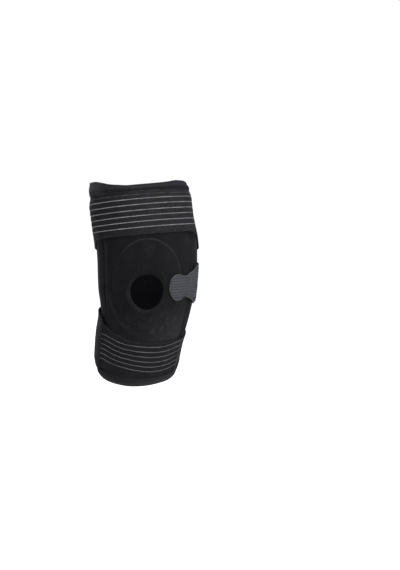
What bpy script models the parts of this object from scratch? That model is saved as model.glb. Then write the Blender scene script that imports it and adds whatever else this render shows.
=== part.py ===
"""Knee brace with an open patella hole, in the form it has when worn on a slightly bent right leg.

The front faces -Y, the leg runs along Z, and +X is the medial side. The origin is on the leg's axis behind the
middle of the hole. Every piece follows one surface: the outside of the sleeve, given by an angle round the leg
(0 in front, positive towards the medial side) and a height along the leg's axis.
"""

import math

import bmesh
import bpy
import numpy as np

# Named sizes, in metres
KNEE_WIDTH = 0.136
LENGTH = 0.262
WALL = 0.003
GAP = 0.0003
STRAP_GAP = 0.0005
STRAP_THICKNESS = 0.0018
PATCH_THICKNESS = 0.0012
TAB_THICKNESS = 0.0016
POCKET_THICKNESS = 0.0022
BINDING_THICKNESS = 0.0010
BINDING_HEIGHT = 0.0092
BINDING_LIP = 0.4
BINDING_ROUND = 0.2
RING_RISE = 0.0042
RING_EDGE = 0.0010
HOLE_HALF_WIDTH = 0.0218
HOLE_HALF_HEIGHT = 0.0201
HOLE_CENTRE_HEIGHT = 0.0027
RING_HALF_WIDTH = 0.0473
RING_HALF_HEIGHT = 0.0540
RING_CENTRE_HEIGHT = 0.0139
POCKET_INNER_ANGLE = 61.5
POCKET_OUTER_ANGLE = 99.0
POCKET_SLOPE = 7.0
GRID_STEP = 7.5
GRID_ROWS = 18
WINDOW = (-8, 8, 4, 14)
RING_FOOT = (1.16, 0.98)
RING_TOP = 0.45
RING_ROWS = 4
RING_TRIM = 0.03
PAD_EDGE = 0.0012
STRAP_MARGIN = 0.0008
POCKET_MARGIN = 0.0010
POCKET_DOME = (0.35, 0.22, 0.78)
ROW_MARGIN = 0.002
ROW_SPACING = 0.018

# Sections of the sleeve's outside, from the lower end to the upper one.
# height: share of LENGTH above the hole's centre.
# centre_x, centre_y, lateral, medial, front, back: shares of KNEE_WIDTH.
# roll: degrees, the medial side up. pitch: degrees, the front up. square: exponent of the section's outline.
SECTION_COLUMNS = (
    "height", "centre_x", "centre_y", "roll", "pitch", "lateral", "medial", "front", "back", "square",
)
SECTIONS = (
    (-0.500, -0.120, 0.180, 0.0, -16.0, 0.390, 0.392, 0.395, 0.480, 2.10),
    (-0.462, -0.118, 0.169, -0.5, -16.0, 0.396, 0.401, 0.400, 0.485, 2.10),
    (-0.375, -0.110, 0.130, -3.0, -16.0, 0.393, 0.407, 0.412, 0.490, 2.10),
    (-0.267, -0.084, 0.083, -5.5, -14.0, 0.404, 0.415, 0.430, 0.480, 2.12),
    (-0.172, -0.046, 0.041, -5.0, -9.5, 0.413, 0.433, 0.458, 0.470, 2.16),
    (-0.095, -0.020, 0.013, -3.0, -5.0, 0.444, 0.447, 0.480, 0.475, 2.20),
    (0.000, -0.009, 0.000, 0.0, 0.5, 0.474, 0.478, 0.500, 0.490, 2.24),
    (0.134, -0.004, 0.009, 3.0, 5.5, 0.487, 0.492, 0.515, 0.510, 2.24),
    (0.229, -0.013, 0.028, 4.5, 7.5, 0.489, 0.496, 0.525, 0.535, 2.20),
    (0.344, -0.043, 0.060, 5.3, 8.5, 0.489, 0.478, 0.540, 0.560, 2.16),
    (0.439, -0.066, 0.088, 5.0, 8.5, 0.489, 0.477, 0.552, 0.578, 2.14),
    (0.488, -0.076, 0.102, 4.2, 8.5, 0.485, 0.475, 0.556, 0.584, 2.13),
    (0.534, -0.085, 0.115, 3.0, 8.5, 0.498, 0.477, 0.560, 0.590, 2.12),
    (0.580, -0.090, 0.128, 2.0, 8.5, 0.497, 0.478, 0.562, 0.592, 2.12),
)

# Heights of the sleeve's two cut edges round the leg: angle in degrees, then shares of LENGTH.
EDGE_COLUMNS = ("angle", "bottom", "top")
EDGES = (
    (-180.0, -0.440, 0.534),
    (-90.0, -0.441, 0.552),
    (-64.0, -0.443, 0.549),
    (-48.0, -0.446, 0.539),
    (-36.0, -0.446, 0.528),
    (-25.0, -0.446, 0.522),
    (-11.0, -0.447, 0.5165),
    (1.0, -0.446, 0.518),
    (18.0, -0.443, 0.521),
    (34.0, -0.441, 0.526),
    (54.0, -0.443, 0.536),
    (68.0, -0.443, 0.536),
    (90.0, -0.442, 0.526),
    (180.0, -0.440, 0.534),
)

# Edges of the thigh strap, from the end on the medial front, over the front and round the back to the other end.
# angle: degrees. bottom, top: shares of LENGTH.
THIGH_STRAP = (
    (74.5, 0.2715, 0.498),
    (45.0, 0.2725, 0.499),
    (0.0, 0.2720, 0.499),
    (-46.0, 0.2735, 0.499),
    (-70.0, 0.2680, 0.499),
    (-90.0, 0.2250, 0.499),
    (-100.0, 0.2180, 0.499),
    (-180.0, 0.2020, 0.499),
    (-255.0, 0.1850, 0.498),
    (-272.0, 0.1830, 0.498),
    (-300.0, 0.2180, 0.498),
)

# Edges of the calf strap, from the end on the lateral front, over the front and round the back to its other end.
CALF_STRAP = (
    (-61.5, -0.408, -0.176),
    (-44.5, -0.408, -0.190),
    (-30.5, -0.408, -0.198),
    (-16.0, -0.408, -0.207),
    (0.0, -0.408, -0.2105),
    (38.0, -0.404, -0.207),
    (60.0, -0.402, -0.209),
    (80.0, -0.400, -0.212),
    (180.0, -0.390, -0.190),
    (254.0, -0.392, -0.160),
    (283.0, -0.396, -0.156),
)

# Edges of the plain patch on the end of the calf strap.
CALF_STRAP_END = (
    (-57.5, -0.410, -0.176),
    (-66.0, -0.410, -0.152),
    (-78.0, -0.410, -0.140),
    (-90.0, -0.408, -0.136),
    (-110.0, -0.404, -0.142),
    (-125.0, -0.396, -0.156),
)

# Outline of the hook tab along the leg's side.
HOOK_TAB = (
    (23.4, 0.0180, 0.0400),
    (24.5, 0.0050, 0.0580),
    (26.5, -0.0080, 0.0680),
    (29.5, -0.0200, 0.0760),
    (33.0, -0.0290, 0.0800),
    (37.0, -0.0320, 0.0806),
    (42.0, -0.0290, 0.0765),
    (46.0, -0.0225, 0.0728),
    (49.5, -0.0180, 0.0713),
    (53.0, -0.0205, 0.0740),
    (58.5, -0.0300, 0.0880),
    (63.0, -0.0395, 0.0985),
    (68.0, -0.0475, 0.1098),
    (72.5, -0.0500, 0.1150),
)

# Edges of the side strap that carries the tab.
SIDE_STRAP = (
    (66.0, -0.0480, 0.1080),
    (72.5, -0.0560, 0.1180),
    (90.0, -0.0700, 0.1200),
    (120.0, -0.0740, 0.1200),
    (150.0, -0.0740, 0.1180),
)

FINISHES = {
    # name: colour (linear), roughness
    "neoprene": ((0.0120, 0.0125, 0.0150), 0.85),
    "tape": ((0.0180, 0.0185, 0.0220), 0.80),
    "elastic": ((0.0240, 0.0240, 0.0290), 0.75),
    "loop": ((0.0150, 0.0150, 0.0180), 0.90),
    "hook": ((0.0760, 0.0780, 0.0900), 0.65),
}


def eased(rows, at, column):
    """The value of a table's column at a place between its rows, on a smooth curve through them."""
    places = [row[0] for row in rows]
    values = [row[column] for row in rows]
    if places[0] > places[-1]:
        places, values = places[::-1], values[::-1]
    at = min(max(at, places[0]), places[-1])
    i = min(max(int(np.searchsorted(places, at, side="right")) - 1, 0), len(places) - 2)
    step = places[i + 1] - places[i]
    slope = [(values[k + 1] - values[k]) / (places[k + 1] - places[k]) for k in range(len(places) - 1)]

    def tangent(k):
        if k in (0, len(places) - 1):
            return slope[min(k, len(slope) - 1)]
        before, after = slope[k - 1], slope[k]
        return 0.0 if before * after <= 0 else 2 * before * after / (before + after)

    t = (at - places[i]) / step
    return (
        (2 * t**3 - 3 * t**2 + 1) * values[i]
        + (t**3 - 2 * t**2 + t) * step * tangent(i)
        + (3 * t**2 - 2 * t**3) * values[i + 1]
        + (t**3 - t**2) * step * tangent(i + 1)
    )


def ramp(value, low, high):
    """0 below low, 1 above high, and a smooth rise between."""
    t = min(max((value - low) / (high - low), 0.0), 1.0)
    return t * t * (3 - 2 * t)


def section(height):
    """The section's values at a height in metres above the hole's centre, by column name."""
    return {name: eased(SECTIONS, height / LENGTH, i) for i, name in enumerate(SECTION_COLUMNS) if i}


def wrapped(angle):
    """The same angle from -180 to 180 degrees."""
    return (angle + 180.0) % 360.0 - 180.0


def edge(angle, name):
    """The height in metres of one of the sleeve's cut edges."""
    return LENGTH * eased(EDGES, wrapped(angle), EDGE_COLUMNS.index(name))


def across(angle, height):
    """How far to the side a point of the sleeve lies from the section's centre, in metres."""
    s, sine = section(height), math.sin(math.radians(angle))
    half = KNEE_WIDTH * (s["medial"] if sine > 0 else s["lateral"])
    return half * math.copysign(abs(sine) ** (2 / s["square"]), sine)


def angle_at(side, height):
    """The angle on the front half where the sleeve lies this far to the side of the section's centre."""
    s = section(height)
    half = KNEE_WIDTH * (s["medial"] if side > 0 else s["lateral"])
    share = min(abs(side) / half, 1.0)
    return math.degrees(math.copysign(math.asin(share ** (s["square"] / 2)), side))


def ring_distance(angle, height):
    """0 at the middle of the patella ring and 1 on its outer edge."""
    if math.cos(math.radians(angle)) <= 0:
        return 9.0
    return math.hypot(across(angle, height) / RING_HALF_WIDTH, (height - RING_CENTRE_HEIGHT) / RING_HALF_HEIGHT)


def ring_lift(angle, height):
    """How far the ring inside pushes the sleeve out."""
    far, (foot, seam) = ring_distance(angle, height), RING_FOOT
    return (RING_RISE - RING_EDGE) * (1 - ramp(far, RING_TOP, seam)) + RING_EDGE * (1 - ramp(far, seam, foot))


def pocket_lift(angle):
    """How far a stay pocket pushes out what lies over it."""
    off = abs(wrapped(angle))
    rise = ramp(off, POCKET_INNER_ANGLE - POCKET_SLOPE, POCKET_INNER_ANGLE)
    fall = ramp(off, POCKET_OUTER_ANGLE, POCKET_OUTER_ANGLE + POCKET_SLOPE)
    return (POCKET_THICKNESS + GAP) * rise * (1 - fall)


def place(angle, height, out):
    """The point this far out from the sleeve's outside, without the ring's lift."""
    s = section(height)
    sine, cosine = math.sin(math.radians(angle)), math.cos(math.radians(angle))
    half_x = KNEE_WIDTH * (s["medial"] if sine > 0 else s["lateral"])
    half_y = KNEE_WIDTH * (s["front"] if cosine > 0 else s["back"])
    n = s["square"]
    x = half_x * math.copysign(abs(sine) ** (2 / n), sine)
    y = -half_y * math.copysign(abs(cosine) ** (2 / n), cosine)
    nx = math.copysign(abs(x / half_x) ** (n - 1), x) / half_x
    ny = math.copysign(abs(y / half_y) ** (n - 1), y) / half_y
    size = math.hypot(nx, ny)
    x, y = x + out * nx / size, y + out * ny / size
    roll, pitch = math.radians(s["roll"]), math.radians(s["pitch"])
    return (
        KNEE_WIDTH * s["centre_x"] + x * math.cos(roll),
        KNEE_WIDTH * s["centre_y"] + y * math.cos(pitch),
        height + x * math.sin(roll) - y * math.sin(pitch),
    )


def on_sleeve(angle, height, out):
    """The point this far out from the sleeve's outside, with the ring's lift."""
    return place(angle, height, out + ring_lift(angle, height))


def on_pockets(angle, height, out):
    """The point this far out from the sleeve and from the stay pockets on it."""
    return on_sleeve(angle, height, out + pocket_lift(angle))


def finish(name):
    """The material of that name, made once."""
    made = bpy.data.materials.get(name)
    if made is None:
        made = bpy.data.materials.new(name)
        made.use_nodes = True
        shader = made.node_tree.nodes["Principled BSDF"]
        colour, roughness = FINISHES[name]
        shader.inputs["Base Color"].default_value = (*colour, 1.0)
        shader.inputs["Roughness"].default_value = roughness
        made.diffuse_color = (*colour, 1.0)
    return made


def piece(name, points, faces, material):
    """An object with a closed mesh whose faces point out."""
    mesh = bpy.data.meshes.new(name)
    mesh.from_pydata([tuple(p) for p in points], [], faces)
    edit = bmesh.new()
    edit.from_mesh(mesh)
    bmesh.ops.recalc_face_normals(edit, faces=edit.faces[:])
    if edit.calc_volume(signed=True) < 0:
        bmesh.ops.reverse_faces(edit, faces=edit.faces[:])
    for face in edit.faces:
        face.smooth = True
    edit.to_mesh(mesh)
    edit.free()
    mesh.materials.append(finish(material))
    made = bpy.data.objects.new(name, mesh)
    bpy.context.scene.collection.objects.link(made)
    return made


def thick(name, sheet, quads, inner, outer, material):
    """A solid between the inner and outer surface over a sheet of (angle, height) joined by quads."""
    count = len(sheet)
    points = [outer(a, h) for a, h in sheet] + [inner(a, h) for a, h in sheet]
    faces = [tuple(q) for q in quads] + [tuple(count + i for i in reversed(q)) for q in quads]
    uses = {}
    for q in quads:
        for a, b in zip(q, q[1:] + q[:1]):
            uses.setdefault(frozenset((a, b)), []).append((a, b))
    for found in uses.values():
        if len(found) == 1:
            a, b = found[0]
            faces.append((b, a, count + a, count + b))
    return piece(name, points, faces, material)


def strip(rows, grid, levels):
    """The sheet and quads of a strip whose edges are given by a table of angle, bottom and top.

    Its columns lie on a grid of angles. It has this many rows of faces, or the sleeve's own rows if levels is 0.
    """
    first, last = sorted((rows[0][0], rows[-1][0]))
    steps = range(math.ceil((first + 0.2 * grid) / grid), math.floor((last - 0.2 * grid) / grid) + 1)
    angles = [first, *(grid * i for i in steps), last]
    ends = [[LENGTH * eased(rows, angle, k) for k in (1, 2)] for angle in angles]
    if levels:
        heights = [[low + (high - low) * j / levels for j in range(levels + 1)] for low, high in ends]
    else:
        levels_at = [[grid_height(angle, j) for j in range(GRID_ROWS + 1)] for angle in angles]
        shared = [
            j
            for j in range(GRID_ROWS + 1)
            if all(low + ROW_MARGIN < at[j] < high - ROW_MARGIN for at, (low, high) in zip(levels_at, ends))
        ]
        wide = [
            max(abs(at[shared[k]] - end[k]) for at, end in zip(levels_at, ends)) > ROW_SPACING
            for k in (0, -1)
        ]
        heights = [
            [low]
            + [(low + at[shared[0]]) / 2] * wide[0]
            + [at[j] for j in shared]
            + [(high + at[shared[-1]]) / 2] * wide[1]
            + [high]
            for at, (low, high) in zip(levels_at, ends)
        ]
    sheet = [(angle, height) for angle, found in zip(angles, heights) for height in found]
    step = len(heights[0])
    quads = [
        (k, k + step, k + step + 1, k + 1)
        for i in range(len(angles) - 1)
        for k in range(i * step, i * step + step - 1)
    ]
    return sheet, quads


def hole_edge(turn):
    """The angle and height of the patella hole's edge, at a turn in degrees from the medial side."""
    c, s = math.cos(math.radians(turn)), math.sin(math.radians(turn))
    height = HOLE_CENTRE_HEIGHT + HOLE_HALF_HEIGHT * s
    return angle_at(HOLE_HALF_WIDTH * c * (1 + 0.04 * s), height), height


def ring_edge(turn, share):
    """The angle and height at this share of the patella ring's half sizes, at a turn in degrees."""
    c, s = math.cos(math.radians(turn)), math.sin(math.radians(turn))
    height = RING_CENTRE_HEIGHT + RING_HALF_HEIGHT * share * s
    return angle_at(RING_HALF_WIDTH * share * c, height), height


def between(a, b, share):
    """The place this share of the way from one place to another."""
    return a[0] + (b[0] - a[0]) * share, a[1] + (b[1] - a[1]) * share


def grid_height(angle, row):
    """The height of a row of the sleeve's grid at an angle."""
    low, high = edge(angle, "bottom"), edge(angle, "top")
    return low + (high - low) * row / GRID_ROWS


def grid_place(i, j):
    """The angle and height of a crossing of the sleeve's grid."""
    angle = wrapped(GRID_STEP * i)
    return angle, grid_height(angle, j)


def window_loop():
    """The grid crossings round the window that the rings of faces fill, in order."""
    left, right, low, high = WINDOW
    return (
        [(i, low) for i in range(left, right)]
        + [(right, j) for j in range(low, high)]
        + [(i, high) for i in range(right, left, -1)]
        + [(left, j) for j in range(high, low, -1)]
    )


def window_turns():
    """The turn round the ring's middle of each crossing of that loop."""
    found = []
    for i, j in window_loop():
        angle, height = grid_place(i, j)
        up, aside = (height - RING_CENTRE_HEIGHT) / RING_HALF_HEIGHT, across(angle, height) / RING_HALF_WIDTH
        found.append(math.degrees(math.atan2(up, aside)))
    return found


def joined(rings, count):
    """Faces between rings of this many points each, the outer ring first."""
    return [
        (before[k], before[(k + 1) % count], now[(k + 1) % count], now[k])
        for before, now in zip(rings, rings[1:])
        for k in range(count)
    ]


def sleeve():
    """The tube, with a regular grid round the leg and rings of faces round the hole."""
    columns = round(360 / GRID_STEP)
    at, sheet, quads = {}, [], []

    def grid(i, j):
        key = (i % columns, j)
        if key not in at:
            at[key] = len(sheet)
            sheet.append(grid_place(*key))
        return at[key]

    left, right, low, high = WINDOW
    inside = {(i % columns, j) for i in range(left, right) for j in range(low, high)}
    for i in range(columns):
        for j in range(GRID_ROWS):
            if (i, j) not in inside:
                quads.append((grid(i, j), grid(i + 1, j), grid(i + 1, j + 1), grid(i, j + 1)))
    turns = window_turns()
    rings = [[grid(i, j) for i, j in window_loop()]]
    rows = [[ring_edge(turn, share) for turn in turns] for share in RING_FOOT]
    for k in range(1, RING_ROWS + 1):
        rows.append([between(ring_edge(turn, RING_FOOT[-1]), hole_edge(turn), k / RING_ROWS) for turn in turns])
    for row in rows:
        rings.append(list(range(len(sheet), len(sheet) + len(row))))
        sheet += row
    quads += joined(rings, len(turns))
    thick(
        "sleeve",
        sheet,
        quads,
        lambda a, h: on_sleeve(a, h, -WALL),
        lambda a, h: on_sleeve(a, h, 0.0),
        "neoprene",
    )


def patella_ring():
    """The pad behind the sleeve round the hole, thick at the hole and thin at its outer edge."""
    turns = window_turns()
    rings, sheet = [], []
    for k in range(RING_ROWS + 1):
        share = (k + RING_TRIM) / (RING_ROWS + 2 * RING_TRIM)
        rings.append(list(range(len(sheet), len(sheet) + len(turns))))
        sheet += [between(ring_edge(turn, RING_FOOT[-1]), hole_edge(turn), share) for turn in turns]
    thick(
        "patella_ring",
        sheet,
        joined(rings, len(turns)),
        lambda a, h: place(a, h, -WALL - STRAP_GAP - PAD_EDGE),
        lambda a, h: on_sleeve(a, h, -WALL - STRAP_GAP),
        "neoprene",
    )


def binding(name, which, way):
    """Tape folded over one of the sleeve's cut edges, with a profile round the outside, the edge and the inside."""
    columns = round(360 / GRID_STEP)
    t, g = BINDING_THICKNESS, GAP
    points, faces, n = [], [], 10
    for i in range(columns):
        angle = wrapped(GRID_STEP * i)
        height = edge(angle, which)
        tall = BINDING_HEIGHT
        if which == "top":
            tall = height - LENGTH * eased(THIGH_STRAP, 0.0, 2) - STRAP_MARGIN
        soft = BINDING_ROUND * t
        outside = [(g, -tall), (g + t, BINDING_LIP * t - tall), (g + t, soft), (g + soft, g + t)]
        inside = [(-WALL - out, rise) for out, rise in reversed(outside)]
        profile = [*outside, *inside, (-WALL - g, g), (g, g)]
        points += [place(angle, height + way * rise, out) for out, rise in profile]
    for i in range(columns):
        m = (i + 1) % columns
        for j in range(n):
            k = (j + 1) % n
            faces.append((i * n + j, m * n + j, m * n + k, i * n + k))
    piece(name, points, faces, "tape")


def stay_pocket(name, side):
    """The raised strip that holds a stay, domed across, down one side between the two bindings."""
    inner, outer = math.ceil(POCKET_INNER_ANGLE / GRID_STEP), math.floor(POCKET_OUTER_ANGLE / GRID_STEP)
    sheet, quads = [], []
    offs = [POCKET_INNER_ANGLE, POCKET_INNER_ANGLE + 3.0]
    offs += [GRID_STEP * i for i in range(inner, outer + 1)]
    offs += [POCKET_OUTER_ANGLE]
    columns, levels = len(offs) - 1, GRID_ROWS - 2
    for off in offs:
        angle = side * off
        low = edge(angle, "bottom") + BINDING_HEIGHT + POCKET_MARGIN
        high = LENGTH * eased(THIGH_STRAP, 0.0, 2) - POCKET_MARGIN
        middle = [grid_height(angle, j) for j in range(2, GRID_ROWS - 1)]
        sheet += [(angle, height) for height in (low, *middle, high)]
    step = levels + 1
    for i in range(columns):
        for j in range(levels):
            k = i * step + j
            quads.append((k, k + step, k + step + 1, k + 1))

    def dome(angle):
        share = (abs(angle) - POCKET_INNER_ANGLE) / (POCKET_OUTER_ANGLE - POCKET_INNER_ANGLE)
        low, rise_ends, fall_starts = POCKET_DOME
        return low + (1 - low) * ramp(share, 0.0, rise_ends) * (1 - ramp(share, fall_starts, 1.0))

    thick(
        name,
        sheet,
        quads,
        lambda a, h: on_sleeve(a, h, GAP),
        lambda a, h: on_sleeve(a, h, GAP + (POCKET_THICKNESS - GAP) * dome(a)),
        "neoprene",
    )


def thigh_strap():
    """One turn of wide elastic, with its end on the medial side over its own other end."""
    sheet, quads = strip(THIGH_STRAP, GRID_STEP, 0)

    def base(angle):
        return STRAP_GAP + (STRAP_THICKNESS + STRAP_GAP) * ramp(angle, 40.0, 58.0)

    thick(
        "thigh_strap",
        sheet,
        quads,
        lambda a, h: on_pockets(a, h, base(a)),
        lambda a, h: on_pockets(a, h, base(a) + STRAP_THICKNESS),
        "elastic",
    )


def calf_strap():
    """One turn of elastic, whose two ends nearly meet on the lateral side under the plain patch."""
    sheet, quads = strip(CALF_STRAP, GRID_STEP, 0)
    thick(
        "calf_strap",
        sheet,
        quads,
        lambda a, h: on_pockets(a, h, STRAP_GAP),
        lambda a, h: on_pockets(a, h, STRAP_GAP + STRAP_THICKNESS),
        "elastic",
    )


def calf_strap_end():
    """The plain patch that joins the two ends of the calf strap."""
    sheet, quads = strip(CALF_STRAP_END, GRID_STEP, 0)
    base = 2 * STRAP_GAP + STRAP_THICKNESS
    thick(
        "calf_strap_end",
        sheet,
        quads,
        lambda a, h: on_pockets(a, h, base),
        lambda a, h: on_pockets(a, h, base + PATCH_THICKNESS),
        "loop",
    )


def side_strap():
    """The strap round the medial side, over the stay pocket, to its seam at the back."""
    sheet, quads = strip(SIDE_STRAP, GRID_STEP, 0)
    thick(
        "side_strap",
        sheet,
        quads,
        lambda a, h: on_pockets(a, h, STRAP_GAP),
        lambda a, h: on_pockets(a, h, STRAP_GAP + STRAP_THICKNESS),
        "loop",
    )


def hook_tab():
    """The grey tab over the end of the side strap and on the sleeve's front."""
    sheet, quads = strip(HOOK_TAB, GRID_STEP / 3, 5)

    def base(angle):
        return 2 * STRAP_GAP + (STRAP_THICKNESS + GAP) * ramp(angle, 56.0, 65.0)

    thick(
        "hook_tab",
        sheet,
        quads,
        lambda a, h: on_pockets(a, h, base(a)),
        lambda a, h: on_pockets(a, h, base(a) + TAB_THICKNESS),
        "hook",
    )


def main():
    for old in list(bpy.data.objects):
        bpy.data.objects.remove(old)
    sleeve()
    patella_ring()
    binding("top_hem_binding", "top", 1)
    binding("bottom_hem_binding", "bottom", -1)
    stay_pocket("lateral_stay_pocket", -1)
    stay_pocket("medial_stay_pocket", 1)
    thigh_strap()
    calf_strap()
    calf_strap_end()
    side_strap()
    hook_tab()


if __name__ == "__main__":
    main()
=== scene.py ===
import logging
import math
from dataclasses import dataclass
from enum import Enum
from typing import Callable

import bmesh
import bpy
import numpy as np
from mathutils import Matrix, Vector


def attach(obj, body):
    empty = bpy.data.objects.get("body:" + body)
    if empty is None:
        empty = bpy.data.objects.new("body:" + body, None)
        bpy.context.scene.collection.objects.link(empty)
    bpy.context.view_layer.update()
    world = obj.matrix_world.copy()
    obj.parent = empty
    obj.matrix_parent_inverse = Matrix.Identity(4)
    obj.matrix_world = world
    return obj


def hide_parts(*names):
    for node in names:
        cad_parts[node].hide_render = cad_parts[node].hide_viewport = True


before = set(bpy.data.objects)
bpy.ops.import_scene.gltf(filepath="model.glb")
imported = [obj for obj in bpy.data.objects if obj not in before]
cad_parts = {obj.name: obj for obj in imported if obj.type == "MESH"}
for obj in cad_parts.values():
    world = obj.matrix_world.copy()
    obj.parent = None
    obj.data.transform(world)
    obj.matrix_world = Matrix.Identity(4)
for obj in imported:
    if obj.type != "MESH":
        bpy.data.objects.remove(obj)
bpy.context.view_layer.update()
BODY = "root"

Array = np.ndarray
Row = tuple[float, ...]
log = logging.getLogger("knee brace")


class Slot(Enum):
    """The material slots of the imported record."""

    NEOPRENE = "neoprene"
    TAPE = "tape"
    ELASTIC = "elastic"
    LOOP = "loop"
    HOOK = "hook"


def eased(rows: tuple[Row, ...], at: Array, column: int) -> Array:
    """Reads a table's column between its rows on a smooth curve.

    Args:
        rows: the table, with the places in its first column.
        at: the places to read.
        column: the column to read.

    Returns:
        The column's values at those places.
    """
    places = np.array([row[0] for row in rows])
    values = np.array([row[column] for row in rows])
    if places[0] > places[-1]:
        places, values = places[::-1], values[::-1]
    at = np.clip(at, places[0], places[-1])
    i = np.clip(np.searchsorted(places, at, side="right") - 1, 0, len(places) - 2)
    step = np.diff(places)
    slope = np.diff(values) / step
    product, total = slope[:-1] * slope[1:], slope[:-1] + slope[1:]
    middle = np.where(product > 0, 2 * product / np.where(product > 0, total, 1.0), 0.0)
    tangent = np.concatenate([slope[:1], middle, slope[-1:]])
    t = (at - places[i]) / step[i]
    return (
        (2 * t**3 - 3 * t**2 + 1) * values[i]
        + (t**3 - 2 * t**2 + t) * step[i] * tangent[i]
        + (3 * t**2 - 2 * t**3) * values[i + 1]
        + (t**3 - t**2) * step[i] * tangent[i + 1]
    )


def ramp(value: Array, low: float, high: float) -> Array:
    """Rises smoothly from 0 at low to 1 at high."""
    t = np.clip((value - low) / (high - low), 0.0, 1.0)
    return t * t * (3 - 2 * t)


def bump(value: Array, middle: float, width: float) -> Array:
    """A smooth hill of height 1 at middle, about this wide."""
    return np.exp(-(((value - middle) / (0.5 * width)) ** 2))


def ripple(u: Array, v: Array, size: float, seed: int, waves: int = 9) -> Array:
    """Soft random hills on a sheet.

    Args:
        u: places across the sheet, in metres.
        v: places up the sheet, in metres.
        size: the usual width of a hill, in metres.
        seed: the number that picks the hills.
        waves: how many waves add up.

    Returns:
        Heights from about -1 to 1.
    """
    draw = np.random.default_rng(seed)
    total = np.zeros_like(u)
    for _ in range(waves):
        turn = draw.uniform(0, math.pi)
        pace = math.pi / size * draw.uniform(0.6, 1.6)
        start = draw.uniform(0, 2 * math.pi)
        total += np.sin(pace * (u * math.cos(turn) + v * math.sin(turn)) + start)
    return total / math.sqrt(2 * waves)


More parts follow.
